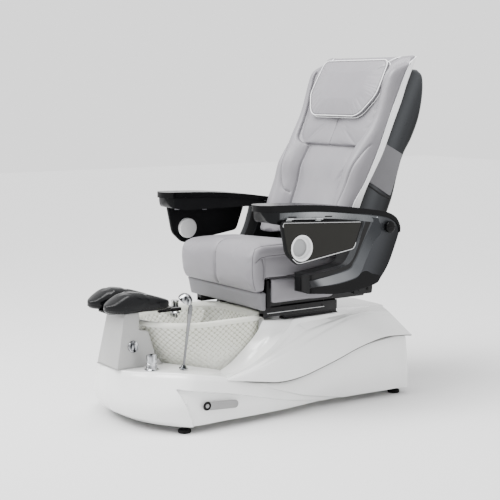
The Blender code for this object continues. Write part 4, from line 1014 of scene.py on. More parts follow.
def hand_shower(finishes):
    foot, top, head = (Vector(p) for p in ((0.204, -0.488, 0.2395), (0.224, -0.467, 0.4760),
                                           (0.213, -0.482, 0.526)))
    along = (top - foot).normalized()
    flange = [(0.0062, 0.0), (0.0185, 0.0), (0.0188, 0.0014), (0.0180, 0.0030), (0.0135, 0.0050),
              (0.0120, 0.0074), (0.0118, 0.0100), (0.0100, 0.0118), (0.0092, 0.0150), (0.0062, 0.0155),
              (0.0062, 0.0)]
    piece("shower_flange", turned(flange, foot + Vector((0, 0, 0.0006)), along), finishes["chrome"], "base",
          ("sprayer_flange",))
    length = (top - foot).length
    handle = [(0.0, -0.060), (0.0050, -0.060), (0.0050, 0.040), (0.0052, 0.090), (0.0060, 0.130),
              (0.0073, length - 0.050), (0.0092, length - 0.018), (0.0098, length - 0.012),
              (0.0098, length - 0.004),
              (0.0090, length), (0.0092, length + 0.018), (0.0060, length + 0.030), (0.0, length + 0.031)]
    facing = Vector((-0.35, -0.45, -0.82)).normalized()
    dome = [(0.0, 0.001), (0.0205, 0.001), (0.0215, -0.0035), (0.0232, -0.0046), (0.0270, -0.0030),
            (0.0288, 0.0010),
            (0.0292, 0.0050), (0.0284, 0.0100), (0.0262, 0.0170), (0.0215, 0.0235), (0.0160, 0.0278),
            (0.0080, 0.0312), (0.0, 0.0322)]
    piece("shower_handle", turned(handle, foot, along, 28), finishes["stick"], "sprayer",
          ("sprayer_handle",), smooth=50)
    piece("shower_dome", turned([(1.06 * r, h) for r, h in dome], head + facing * 0.006, -facing),
          finishes["chrome"], "sprayer", smooth=50)
    hose = [(0.0, -0.195), (0.0045, -0.195)]
    hose += [(0.0045 if k % 2 else 0.0037, -0.193 + 0.0022 * k) for k in range(60)]
    hose += [(0.0045, -0.0606), (0.0, -0.0603)]
    piece("shower_hose", turned(hose, foot, along, 20), finishes["steel"], "sprayer", ("sprayer_hose",))
    face_at = head + facing * 0.0066
    face = [(0.0, 0.0), (0.0195, 0.0), (0.0204, 0.0012), (0.0204, 0.0028), (0.0188, 0.0052),
            (0.0100, 0.0064), (0.0, 0.0068)]
    shapes = [turned(face, face_at, facing)]
    across = facing.orthogonal().normalized()
    second = facing.cross(across)
    for radius, number, rise in ((0.0055, 6, 0.0064), (0.0105, 12, 0.0060), (0.0155, 18, 0.0052)):
        for k in range(number):
            turn = 2 * math.pi * k / number
            spot = face_at + across * (radius * math.cos(turn)) + second * (radius * math.sin(turn))
            shapes.append(turned([(0.0, 0.0), (0.0009, 0.0), (0.0007, 0.0016), (0.0, 0.0017)],
                                 spot + facing * rise, facing, 8))
    piece("shower_face", joined(*shapes), finishes["nozzle"], "sprayer", ("sprayer_face",))


def blank_plate(finishes):
    """Name plate with a raised rim and a blank disc at its front end."""
    outline = fillet([(-0.482, 0.092), (-0.312, 0.081), (-0.312, 0.114), (-0.482, 0.128)], 0.0160, 8)
    plate = slab(outline, "x", 0.3405, 0.3452, 0.0006)
    raised = slab(inset(outline, 0.0016), "x", 0.3440, 0.3460, 0.0006)
    piece("plate", joined(plate, raised), finishes["plate"], "base", ("blank_badge",))
    disc = [(0.0, 0.0), (0.0185, 0.0), (0.0188, 0.0012), (0.0175, 0.0026), (0.0160, 0.0020), (0.0, 0.0022)]
    piece("plate_disc", turned(disc, (0.3440, -0.463, 0.1095), (1, 0, 0)), finishes["gloss_black"], "base")
    centre = [(0.0, 0.0), (0.0085, 0.0), (0.0085, 0.0010), (0.0070, 0.0016), (0.0, 0.0018)]
    piece("plate_centre", turned(centre, (0.3458, -0.463, 0.1095), (1, 0, 0)), finishes["plate"], "base")


def levelling_feet(finishes):
    for where, x, y in (("front", 0.290, -0.538), ("rear", 0.275, 0.590)):
        for letter, side in SIDES:
            profile = [(0.0, 0.0), (0.0235, 0.0), (0.0262, 0.0020), (0.0272, 0.0050), (0.0268, 0.0110),
                       (0.0250, 0.0140), (0.0170, 0.0165), (0.0120, 0.0180), (0.0120, 0.0297),
                       (0.0, 0.0297)]
            piece(f"levelling_foot_{where}_{letter}", turned(profile, (side * x, y, 0)), finishes["rubber"],
                  "base", (f"foot_{where}_{letter}",))


# Footrest ---------------------------------------------------------------------------------------
def footrest(finishes):
    plate_low = PILLAR_TOP + 0.0006
    plate = fillet([(-0.060, -0.745), (0.060, -0.745), (0.095, -0.46), (-0.095, -0.46)], 0.03, 10)
    piece("footrest_base", slab(plate, "z", plate_low, plate_low + 0.008, 0.002), finishes["satin_black"],
          "footrest", ("footrest_plate",))
    rest_on = plate_low + 0.0083
    sole = [(0.014, -0.700), (0.030, -0.755), (0.075, -0.775), (0.118, -0.747), (0.130, -0.690),
            (0.124, -0.620), (0.126, -0.555), (0.121, -0.505), (0.085, -0.492), (0.050, -0.503),
            (0.036, -0.560), (0.021, -0.630)]
    middle = np.array([0.075, -0.63])
    bar = slab(fillet([(0.050, -0.520), (0.070, -0.520), (0.070, -0.412), (0.050, -0.412)], 0.003, 3), "z",
               0.4530, 0.4660, 0.0015, 2)
    piece("footrest_slide_bar", bar, finishes["gloss_black"], "footrest")
    for letter, side in SIDES:
        plan = evenly(curve_through([(*p, 0.0) for p in sole + sole[:1]], 10)[:-1, :2], 120, True)
        levels = [(0.80, 0.000), (0.90, 0.001), (0.965, 0.006), (0.995, 0.014), (1.000, 0.030),
                  (0.985, 0.043),
                  (0.945, 0.0535), (0.87, 0.0640), (0.75, 0.0725), (0.58, 0.0785), (0.35, 0.0825),
                  (0.12, 0.0840)]
        rings = []
        for size, rise in levels:
            around = middle + (plan - middle) * size
            crown = np.interp(around[:, 1], [-0.775, -0.745, -0.705, -0.671, -0.600, -0.540, -0.480],
                              [0.05, 0.50, 0.90, 1.0, 0.74, 0.40, 0.12])
            height = min(rise, 0.034) + max(rise - 0.034, 0.0) * crown
            rings.append(np.column_stack([side * around[:, 0], around[:, 1], rest_on + height]))
        made = remeshed(f"foot_pad_{letter}", rings_mesh(rings), finishes["pad"], 0.0035)
        points = coordinates_of(made)
        upper = smoothstep(rest_on + 0.020, rest_on + 0.040, points[:, 2])
        across = (side * points[:, 0] - 0.075) / 0.05
        fold = np.exp(-((points[:, 1] + 0.600 - 0.012 * across) / 0.013) ** 2)
        fold += 0.7 * np.exp(-((points[:, 1] + 0.680 - 0.012 * across) / 0.014) ** 2)
        points[:, 2] -= upper * 0.0038 * fold
        set_coordinates(made, points)
        made = smoothed(made, 5)
        swollen(made, 1.5, 0.002, frames=12)
        made = smoothed(made, 3)
        pad_piece(made, "footrest", (f"footrest_pad_{letter}",))
        welt = surface_tree(made)
        low_ring = [(side * x, y, rest_on + 0.012) for x, y in middle + (plan - middle) * 1.02]
        piece(f"foot_pad_welt_{letter}", seam_shape(welt, low_ring, 0.0016, 0.0004, True),
              finishes["satin_black"], "footrest")


# Rails ------------------------------------------------------------------------------------------
def hex_bolt(centre, direction, size=0.006, height=0.004):
    return turned([(0.0, 0.0), (size, 0.0), (size, height * 0.7), (size * 0.85, height), (0.0, height)],
                  centre, direction, 6)


def rails(finishes):
    bottom, top = HOOD_DECK + 0.0003, 0.434
    for letter, side in SIDES:
        centre = side * 0.245
        low = [(-0.020, bottom), (0.020, bottom), (0.020, bottom + 0.006), (0.012, bottom + 0.006),
               (0.012, top),
               (-0.012, top), (-0.012, bottom + 0.006), (-0.020, bottom + 0.006)]
        outline = fillet([(centre + a, b) for a, b in low], 0.0012, 3)
        slide = slab(outline, "y", -0.020, 0.266, 0.0006, 2)
        bolts = [hex_bolt((centre + s * 0.0165, y, bottom + 0.006), (0, 0, 1), 0.0032, 0.0025)
                 for y in (0.015, 0.120, 0.235) for s in (-1, 1)]
        piece(f"rail_low_{letter}", joined(slide, *bolts), finishes["satin_black"], "base",
              (f"rail_lower_{letter}",))
        high = [(-0.017, top - 0.014), (-0.0125, top - 0.014), (-0.0125, top + 0.0003),
                (0.0125, top + 0.0003),
                (0.0125, top - 0.014), (0.017, top - 0.014), (0.017, 0.4597), (-0.017, 0.4597)]
        outline = fillet([(centre + a, b) for a, b in high], 0.0010, 3)
        carriage = slab(outline, "y", -0.127, 0.266, 0.0006, 2)
        studs = [hex_bolt((centre + side * 0.017, y, 0.444), (side, 0, 0), 0.0042, 0.0028)
                 for y in (-0.095, 0.045, 0.185)]
        piece(f"rail_high_{letter}", joined(carriage, *studs), finishes["satin_black"], "seat",
              (f"rail_upper_{letter}",))
        # A light grey strip along the upper rail paints its edge highlight.
        strip = slab([(centre + side * 0.0172, 0.4352), (centre + side * 0.0184, 0.4352),
                      (centre + side * 0.0184, 0.4372), (centre + side * 0.0172, 0.4372)], "y", -0.110,
                     0.195, 0.0003, 1)
        piece(f"rail_edge_highlight_{letter}", strip, finishes["trim"], "seat")


ARM_PIVOT_Y, ARM_PIVOT_Z = 0.406, 0.787


# Seat -------------------------------------------------------------------------------------------
SEAT_TOP = 0.738
SEAT_HALF = 0.290
SIDE_SEAM = 0.585


def quilted(made, lines, amount, reach, where=None):
    """Crowns the cover between its seams."""
    points, normals = coordinates_of(made), normals_of(made)
    near = np.min([distance_to_line(points, line) for line in lines], axis=0)
    push = amount * (1 - np.exp(-near / reach))
    if where is not None:
        push = push * where(points)
    set_coordinates(made, points + normals * push[:, None])
    return near


def both(line):
    """The line and its mirror image across the middle."""
    line = np.asarray(line, float)
    return [line, line * np.array([-1.0, 1.0, 1.0])]


def stitches(made_tree, line, finish, name, body, radius=0.0011, lift=-0.0002):
    """Sunk thread line along a seam, laid as a thin dark cord that is both the stitching and painted shade in
    the seam.
    """
    path = snapped(made_tree, evenly(line, max(8, int(np.sum(np.linalg.norm(np.diff(line, axis=0),
                                                                            axis=1)) / 0.006))), lift)
    return piece(name, tube(path, radius, 6), finish, body)


def seat(finishes):
    top = SEAT_TOP
    side = [(-0.181, 0.534), (-0.196, 0.572), (-0.201, 0.630), (-0.198, 0.688), (-0.181, 0.719),
            (-0.150, top - 0.006),
            (-0.040, top - 0.004), (0.240, top - 0.046), (0.286, top - 0.058), (0.286, SIDE_SEAM + 0.001),
            (-0.130, SIDE_SEAM + 0.001), (-0.130, 0.534)]
    outline = fillet(side, [0.012, 0.03, 0.05, 0.03, 0.02, 0.03, 0.05, 0.02, 0.02, 0.004, 0.004, 0.006], 5)
    shape = slab(evenly(outline, 260, True), "x", -SEAT_HALF + 0.003, SEAT_HALF - 0.003, 0.026, 8)
    made = remeshed("seat_pad", shape, finishes["leather"], 0.006)

    def settled(points):
        """The crown is low along the sitter's right, where the cover has settled most."""
        points = np.array(points, float)
        drop = 0.003 + 0.023 * smoothstep(-0.02, -0.25, points[:, 0])
        points[:, 2] -= drop * smoothstep(SIDE_SEAM + 0.01, 0.730, points[:, 2])
        return points

    set_coordinates(made, settled(coordinates_of(made)))
    top_seam = evenly(curve_through([(0.276, -0.192, 0.727), (0.277, -0.146, 0.733), (0.274, -0.053, 0.729),
                                     (0.272, 0.100, 0.708), (0.270, 0.270, 0.680)], 8), 60)
    side_seam = curve_through([(0.288, -0.186, 0.661), (0.289, -0.151, 0.681), (0.289, -0.043, 0.685),
                               (0.289, 0.060, 0.676), (0.289, 0.286, 0.655)], 8)
    corner_seam = curve_through([(0.277, -0.186, 0.727), (0.279, -0.196, 0.700), (0.280, -0.201, 0.645),
                                 (0.280, -0.197, 0.588), (0.278, -0.184, 0.540)], 8)
    box_seam = curve_through([(0.289, -0.152, 0.678), (0.289, -0.141, 0.628), (0.289, -0.146, 0.586)], 8)
    centre = curve_through([(0.0, 0.200, 0.700), (0.0, -0.020, 0.733), (0.0, -0.150, 0.732),
                            (0.0, -0.190, 0.715),
                            (0.0, -0.203, 0.684), (0.0, -0.206, 0.633), (0.0, -0.200, 0.576),
                            (0.0, -0.186, 0.540)], 8)
    foot_seam = np.array([(x, -0.184, 0.538) for x in np.linspace(-0.28, 0.28, 40)])
    side_lines = both(top_seam) + both(side_seam) + both(corner_seam) + both(box_seam)
    cover_seams = [settled(line) for line in side_lines]
    centre = settled(centre)
    lines = cover_seams + [centre, foot_seam]

    def face_share(points):
        """Only the top, the front and the sides are padded."""
        under = smoothstep(SIDE_SEAM - 0.010, SIDE_SEAM + 0.006, points[:, 2])
        return np.maximum(under, 1 - smoothstep(-0.150, -0.135, points[:, 1]))

    near = quilted(made, lines, 0.0055, 0.030, face_share)
    held = np.clip(1.0 - near / 0.012, 0, 1)
    held = np.maximum(held, 1 - face_share(coordinates_of(made)))
    swollen(made, 4.0, 0.009, held=held)
    subdivided(made)

    points = coordinates_of(made)
    flank = smoothstep(0.262, 0.284, np.abs(points[:, 0])) * smoothstep(-0.148, -0.130, points[:, 1])
    seam_height = np.interp(points[:, 1], side_seam[:, 1], side_seam[:, 2])
    below = smoothstep(0.0, 0.010, seam_height - points[:, 2])
    points[:, 0] -= np.sign(points[:, 0]) * 0.0065 * flank * below
    set_coordinates(made, points)
    pressed(made, cover_seams, 0.0045, 0.0030)
    pressed(made, [centre], 0.0075, 0.0065, lambda p: 1 - 0.6 * smoothstep(-0.14, 0.0, p[:, 1]))
    pad_piece(made, "seat", ("seat_cushion",))
    cover = surface_tree(made)
    for letter, side_sign in SIDES:
        flip = np.array([side_sign, 1.0, 1.0])
        for part, line in (("top", top_seam), ("side", side_seam), ("corner", corner_seam),
                           ("box", box_seam)):
            stitches(cover, settled(line * flip), finishes["thread_and_seam_shade"], f"seat_{part}_seam_{letter}", "seat")
        # The dark welt under the side boxing paints the shadow under the boxing's edge.
        welt = np.array([(0.2855, -0.140, SIDE_SEAM + 0.001), (0.2855, 0.284, SIDE_SEAM + 0.003)]) * flip
        piece(f"seat_welt_{letter}", seam_shape(cover, evenly(welt, 70), 0.0024, 0.0006),
              finishes["thread_and_seam_shade"], "seat")
    stitches(cover, centre, finishes["thread_and_seam_shade"], "seat_centre_seam", "seat", 0.0010, -0.0004)


def skirt(finishes):
    section = [(-0.146, 0.453), (-0.165, 0.5312), (-0.130, 0.5312), (-0.130, 0.453)]
    outline = fillet(section, [0.006, 0.003, 0.003, 0.004], 4)
    # The skirt takes the darker leather as painted shade under the seat's front overhang.
    made = remeshed("skirt_pad", slab(evenly(outline, 90, True), "x", -0.286, 0.286, 0.006, 4),
                    finishes["patch"], 0.005)
    points = coordinates_of(made)
    front = smoothstep(-0.135, -0.148, points[:, 1])
    points[:, 1] -= 0.0035 * front * (1 - (points[:, 0] / 0.286) ** 6)
    set_coordinates(made, points)
    swollen(made, 3.0, 0.003, frames=10)
    subdivided(made)
    pad_piece(made, "seat", ("front_skirt",))


def side_panels(finishes):
    outline = fillet([(-0.103, 0.5835), (-0.103, 0.482), (0.215, 0.479), (0.299, 0.530), (0.299, 0.5835)],
                     [0.006, 0.016, 0.05, 0.04, 0.006], 8)
    for letter, side in SIDES:
        shape = side_slab(evenly(outline, 200, True), side, 0.2560, 0.2850, 0.005, 4)
        made = remeshed(f"panel_pad_{letter}", shape, finishes["leather"], 0.005)
        points = coordinates_of(made)
        line = np.array([(side * 0.285, y, z) for y, z in evenly(outline, 200, True)])
        near = distance_to_line(points, np.vstack([line, line[:1]]))
        points[:, 0] += side * 0.0035 * (1 - np.exp(-near / 0.022)) * (side * points[:, 0] > 0.28)
        set_coordinates(made, points)
        swollen(made, 3.0, 0.003, frames=10)
        subdivided(made)
        pad_piece(made, "seat", (f"side_panel_{letter}",))


def seat_steel(finishes):
    """The pan, the recline pin and the uprights that carry the armrests."""
    half, skin, top, floor = 0.254, 0.006, SIDE_SEAM - 0.004, 0.460
    channel = [(-half, top), (-half, floor), (half, floor), (half, top), (half - skin, top),
               (half - skin, floor + skin), (-half + skin, floor + skin), (-half + skin, top)]
    outline = fillet(channel, [0.001, 0.006, 0.006, 0.001, 0.001, 0.003, 0.003, 0.001], 3)
    channel_part = slab(outline, "y", -0.030, 0.425, 0.0006, 2)
    cheeks = [slab(fillet([(x, floor), (x + skin, floor), (x + skin, top), (x, top)], 0.001, 3), "y",
                   -0.120, -0.0303, 0.0006, 2) for x in (-half, half - skin)]
    piece("pan", joined(channel_part, *cheeks), finishes["satin_black"], "seat", ("seat_frame",))
    pin = [(0.0, -0.262), (0.0095, -0.262), (0.0100, -0.2612), (0.0100, 0.2612), (0.0095, 0.262),
           (0.0, 0.262)]
    piece("back_pin", turned(pin, (0.0, 0.375, 0.555), (1, 0, 0), 32), finishes["steel"], "seat",
          ("recline_pin",))
    for letter, side in SIDES:
        low, high = sorted((side * (half + 0.0003), side * (half + 0.030)))
        plan = fillet([(low, -0.128), (high, -0.128), (high, -0.106), (low, -0.106)], 0.0025, 3)
        piece(f"front_post_{letter}", slab(plan, "z", 0.464, SIDE_SEAM - 0.004, 0.0015, 3),
              finishes["gloss_black"],
              "seat", (f"front_bracket_{letter}",))
        upright = fillet([(0.320, 0.480), (0.425, 0.480), (0.445, 0.770), (0.406, 0.820), (0.375, 0.770)],
                         [0.01, 0.01, 0.03, 0.02, 0.03], 6)
        low_foot, high_foot = sorted((side * 0.2545, side * 0.3065))
        foot = slab(fillet([(low_foot, 0.330), (high_foot, 0.330), (high_foot, 0.4175), (low_foot, 0.4175)],
                           0.003, 3), "z", 0.485, 0.520, 0.0015, 2)
        pivot = turned([(0.0, 0.0), (0.012, 0.0), (0.012, 0.053), (0.0112, 0.0538), (0.0, 0.0538)],
                       (side * 0.3065, ARM_PIVOT_Y, ARM_PIVOT_Z), (side, 0, 0), 32)
        bolts = [hex_bolt((side * 0.310, y, z), (side, 0, 0), 0.007, 0.0045) for y,
                 z in ((0.350, 0.500), (0.400, 0.500))]
        piece(f"arm_upright_{letter}", joined(side_slab(upright, side, 0.3040, 0.3100, 0.0012, 2), foot,
                                              pivot,
                                              *bolts),
              finishes["satin_black"], "seat", (f"arm_bracket_{letter}",))


# Backrest ---------------------------------------------------------------------------------------
BACK_FOOT, BACK_RISE, BACK_SPREAD = 0.747, 0.753, 0.010
BACK_HALF = 0.286
CHEST_HALF = 0.262
BACK_WINGS = [(0.2465, 0.722), (0.285, 0.845), (0.326, 0.948), (0.352, 1.030), (0.400, 1.110),
              (0.470, 1.252), (0.502, 1.343), (0.520, 1.400), (0.548, 1.452), (0.628, 1.500)]
BACK_REAR = [(0.3300, 0.722), (0.360, 0.845), (0.400, 0.940), (0.448, 1.020), (0.494, 1.100),
             (0.549, 1.225), (0.592, 1.320), (0.618, 1.390), (0.645, 1.450), (0.672, 1.514)]
CHEST = [(0.000, 1.121), (0.150, 1.121), (0.180, 1.123), (0.208, 1.131), (0.232, 1.152), (0.243, 1.200),
         (0.250, 1.260), (0.254, 1.340), (0.262, 1.460), (0.266, 1.560)]


def back_half(at_foot, height):
    """Half width of the backrest, which grows upwards."""
    return at_foot + BACK_SPREAD * (height - BACK_FOOT) / BACK_RISE


def chest_line():
    return flat_curve(CHEST, 8)


def inside_chest(x, z):
    """Distance inside the chest panel's edge in the (|X|, Z) plane, negative outside."""
    line = chest_line()
    flat = np.column_stack([np.abs(x), np.full(len(x), z)])
    near = distance_to_line(flat, line)
    floor = np.interp(np.abs(x), line[:, 0], line[:, 1])
    return np.where((z > floor) & (np.abs(x) < 0.266), near, -near)


def fold_place(z):
    """How far from the middle the fold beside the chest lies."""
    return 0.158 + 0.014 * smoothstep(0.85, 1.10, z)


def wing_depth(across, z):
    """How far the cover lies behind the wing line, outside the chest panel."""
    up = smoothstep(1.06, 1.27, z)
    half = BACK_HALF + BACK_SPREAD * np.clip((z - BACK_FOOT) / BACK_RISE, 0, 1)
    fold = fold_place(z)
    low_x = [0.0, 0.090, fold - 0.022, fold - 0.004, fold + 0.010, fold + 0.030, 0.226, 0.244, 0.262,
             half - 0.012, half - 0.003, half]
    low_d = [0.027, 0.029, 0.038, 0.0490, 0.026, 0.001, -0.021, -0.026, -0.022, -0.008, 0.004, 0.012]
    high_x = [0.0, 0.120, 0.180, 0.215, 0.235, 0.246, 0.256, 0.268, half - 0.012, half - 0.006,
              half - 0.002, half]
    high_d = [0.034, 0.034, 0.030, 0.024, 0.014, 0.006, 0.000, -0.002, 0.001, 0.004, 0.009, 0.016]
    return (1 - up) * np.interp(across, low_x, low_d) + up * np.interp(across, high_x, high_d)


def chest_depth(across):
    crown = 0.010 * (1 - (across / CHEST_HALF) ** 2)
    return 0.020 - crown


def back_front(x, z):
    """Depth of the backrest's front face behind the wing line."""
    across = np.abs(x)
    into = inside_chest(x, z)
    share = smoothstep(-0.003, 0.004, into)
    depth = (1 - share) * wing_depth(across, z) + share * chest_depth(across)
    roll = 0.008 * np.exp(-np.maximum(into, 0) / 0.012) * share * (across < CHEST_HALF)
    top = smoothstep(1.455, 1.50, z)
    return (depth + roll) * (1 - top) + 0.016 * top


def back_ring(share):
    """One closed level of the backrest, and the front Z of that level."""
    wings = curve_through([(0.0, *p) for p in BACK_WINGS], 12)
    rears = curve_through([(0.0, *p) for p in BACK_REAR], 12)
    at = share * (len(wings) - 1)
    front = np.array([np.interp(at, np.arange(len(wings)), wings[:, k]) for k in (1, 2)])
    rear = np.array([np.interp(at, np.arange(len(rears)), rears[:, k]) for k in (1, 2)])
    back_way = (rear - front) / np.linalg.norm(rear - front)
    thick = np.linalg.norm(rear - front)
    half = back_half(BACK_HALF, front[1])
    x = np.linspace(-half, half, 132)
    depth = back_front(x, front[1])
    depth = np.minimum(depth, thick - 0.004)
    flank = np.linspace(depth[-1], thick, 12)[1:]
    side_x = half + 0.0035 * np.sin(np.pi * np.linspace(0, 1, 11))
    rear_x = np.linspace(half, -half, 80)[1:-1]
    across = np.concatenate([x, side_x, rear_x, -side_x[::-1]])
    behind = np.concatenate([depth, flank, np.full(len(rear_x), thick), flank[::-1]])
    return np.column_stack([across, front[0] + back_way[0] * behind, front[1] + back_way[1] * behind])


def back_cushion(finishes):
    rings = [back_ring(share) for share in np.linspace(0.0, 1.0, 190)]
    for number, (ring, inward) in enumerate(((rings[0], 0.006), (rings[-1], 0.006))):
        centre = ring.mean(axis=0)
        end = centre + (ring - centre) * 0.96
        end[:, 2] += -inward * 0.4 if number == 0 else inward * 0.4
        rings.insert(0 if number == 0 else len(rings), end)
    made = remeshed("back_pad", rings_mesh(rings), finishes["leather"], 0.005)
    made = smoothed(made, 1)
    seams = back_seams()
    front_lines = [snap_front(line) for line in seams.values()]

    def front_share(points):
        """Only the front face is padded."""
        wing_y = np.interp(points[:, 2], [p[1] for p in BACK_WINGS], [p[0] for p in BACK_WINGS])
        return 1 - smoothstep(0.040, 0.060, points[:, 1] - wing_y)

    near = quilted(made, front_lines, 0.004, 0.035, front_share)
    held = np.maximum(np.clip(1.0 - near / 0.010, 0, 1), 1 - front_share(coordinates_of(made)))
    swollen(made, 4.0, 0.008, held=held)
    subdivided(made)
    pressed(made, front_lines, 0.0050, 0.0032)
    pad_piece(made, "back", ("back_cushion",))
    cover = surface_tree(made)
    for name, line in seams.items():
        stitches(cover, snap_front(line), finishes["thread_and_seam_shade"], f"back_{name}", "back", 0.0010, -0.0004)


def snap_front(line):
    """Puts (X, Z) points on the backrest's front face."""
    line = evenly(np.asarray(line, float), 60)
    wings = curve_through([(0.0, *p) for p in BACK_WINGS], 12)
    made = []
    for x, z in line:
        y = np.interp(z, wings[:, 2], wings[:, 1])
        depth = float(back_front(np.array([x]), z)[0])
        made.append((x, y + depth * 0.88, z - depth * 0.25))
    return np.array(made)


def back_seams():
    chest = chest_line()
    chest = chest[chest[:, 1] < 1.46]
    wings = {"R": [(0.291, 1.134, 0), (0.262, 1.108, 0), (0.243, 1.060, 0), (0.230, 0.990, 0),
                   (0.212, 0.935, 0), (0.192, 0.910, 0), (0.172, 0.902, 0)],
             "L": [(0.291, 1.134, 0), (0.280, 1.099, 0), (0.270, 1.047, 0), (0.262, 0.974, 0),
                   (0.250, 0.900, 0), (0.232, 0.840, 0), (0.206, 0.770, 0)]}
    heights = np.linspace(0.765, 1.112, 40)
    fold = np.column_stack([fold_place(heights), heights])
    seams = {}
    for letter, side in SIDES:
        seams[f"chest_seam_{letter}"] = chest * np.array([side, 1.0])
        seams[f"wing_seam_{letter}"] = curve_through(wings[letter], 6)[:, :2] * np.array([side, 1.0])
        # Fold lines get dark cords too, painting the shadow in the fold.
        seams[f"fold_{letter}"] = fold * np.array([side, 1.0])
    seams["centre_seam"] = np.array([(0.0, 1.121), (0.0, 1.30)])
    return seams


def back_side_band(finishes):
    """White gusset along each rear edge of the cushion, with a welt at its front."""
    front_edge = curve_through([(0.0, 0.305, 0.790), (0.0, 0.328, 0.876), (0.0, 0.387, 0.962),
                                (0.0, 0.430, 1.040),
                                (0.0, 0.470, 1.122), (0.0, 0.535, 1.280), (0.0, 0.559, 1.331),
                                (0.0, 0.600, 1.420), (0.0, 0.636, 1.492)], 10)
    rear_edge = curve_through([(0.0, y - 0.002, z) for y, z in BACK_REAR], 10)
    front_edge, rear_edge = evenly(front_edge, 120), evenly(rear_edge[8:], 120)
    for letter, side in SIDES:
        rings = []
        for front, rear in zip(front_edge, rear_edge):
            ring = []
            half = back_half(BACK_HALF + 0.0015, front[2])
            for share, out in ((0.0, 0.002), (0.04, 0.0052), (0.10, 0.0066), (0.5, 0.0080), (0.90, 0.0070),
                               (0.97, 0.0050), (1.0, 0.0010)):
                point = front + (rear - front) * share
                ring.append((side * (half + out), point[1], point[2]))
            for share in (1.0, 0.5, 0.0):
                point = front + (rear - front) * share
                ring.append((side * (half - 0.006), point[1], point[2]))
            rings.append(ring)
        band = piece(f"back_band_{letter}", rings_mesh(rings), finishes["leather_white"], "back",
                     smooth=70)
        path = [(side * back_half(BACK_HALF + 0.0070, p[2]), p[1] - 0.0012, p[2]) for p in front_edge]
        piece(f"back_band_welt_{letter}", tube(path, 0.0022, 8), finishes["leather_white"], "back")


def pillow(finishes):
    bottom, top = np.array([0, 0.445, 1.250]), np.array([0, 0.579, 1.502])
    height = float(np.linalg.norm(top - bottom))
    up = (top - bottom) / height
    out = np.array([0.0, -up[2], up[1]])
    corners = [(-0.170, 0.0), (0.170, 0.0), (0.240, 0.11), (0.230, height), (-0.230, height),
               (-0.240, 0.11)]
    plan = evenly(fillet(corners, [0.075, 0.075, 0.10, 0.035, 0.035, 0.10], 10), 200, True)
    middle = np.array([0.0, height / 2])

    def ring(size, depth):
        flat = middle + (plan - middle) * size
        return bottom + flat[:, :1] * np.array([1.0, 0, 0]) + flat[:, 1:] * up + out * depth

    profile = [(0.88, -0.0215), (0.955, -0.0205), (0.982, -0.0160), (0.990, -0.0080), (0.985, -0.0015),
               (0.962, 0.0040), (0.900, 0.0085), (0.780, 0.0125), (0.550, 0.0160), (0.250, 0.0180),
               (0.060, 0.0185)]
    made = remeshed("pillow_pad", rings_mesh([ring(size, depth) for size, depth in profile]),
                    finishes["leather"], 0.0045)
    edge = ring(1.0, -0.006)
    near = distance_to_line(coordinates_of(made), np.vstack([edge, edge[:1]]))
    swollen(made, 4.0, 0.006, held=np.clip(1.0 - near / 0.012, 0, 1))
    subdivided(made)
    pad_piece(made, "back", ("head_pillow",))
    for name, size, depth, radius in (("front", 0.988, 0.0015, 0.0019), ("rear", 0.992, -0.0165, 0.0022)):
        piece(f"pillow_welt_{name}", tube(ring(size, depth), radius, 8, True), finishes["leather_white"],
              "back")
    path = ring(0.955, 0.0052)
    piece("pillow_seam", tube(snapped(surface_tree(made), path, -0.0002), 0.0009, 6, True),
          finishes["thread_and_seam_shade"], "back")
    strap = np.array([(0.212, 0.583, 1.488), (0.216, 0.602, 1.499), (0.226, 0.622, 1.508),
                      (0.238, 0.640, 1.513)])
    for letter, side in SIDES:
        path = evenly(curve_through(strap * np.array([side, 1, 1]), 6), 24)
        piece(f"pillow_cord_{letter}", tube(path, 0.0024, 8), finishes["leather_white"], "back")


SHELL_FRONT = [(0.3385, 0.747), (0.3625, 0.845), (0.4025, 0.940), (0.4505, 1.020), (0.4965, 1.100),
               (0.5515, 1.225), (0.5945, 1.320), (0.6205, 1.390), (0.6485, 1.450), (0.690, 1.462)]
SHELL_REAR = [(0.745, 1.458), (0.776, 1.427), (0.779, 1.345), (0.758, 1.242), (0.716, 1.150),
              (0.673, 1.085), (0.645, 1.020), (0.609, 0.897), (0.578, 0.823), (0.530, 0.715),
              (0.480, 0.600), (0.440, 0.532), (0.375, 0.530)]


def shell(finishes):
    front = flat_curve(SHELL_FRONT, 6)
    rear = flat_curve(SHELL_REAR, 6)
    outline = np.vstack([front, rear, [(0.338, 0.575), (0.345, 0.640)]])
    outline = evenly(outline, 300, True)
    body = slab(outline, "x", -0.238, 0.238, 0.020, 8)
    # The shell's material carries a painted highlight band and painted shade.
    made = piece("rear_shell", body, finishes["shell"], "back", ("back_shell",),
                 smooth=50)
    return made


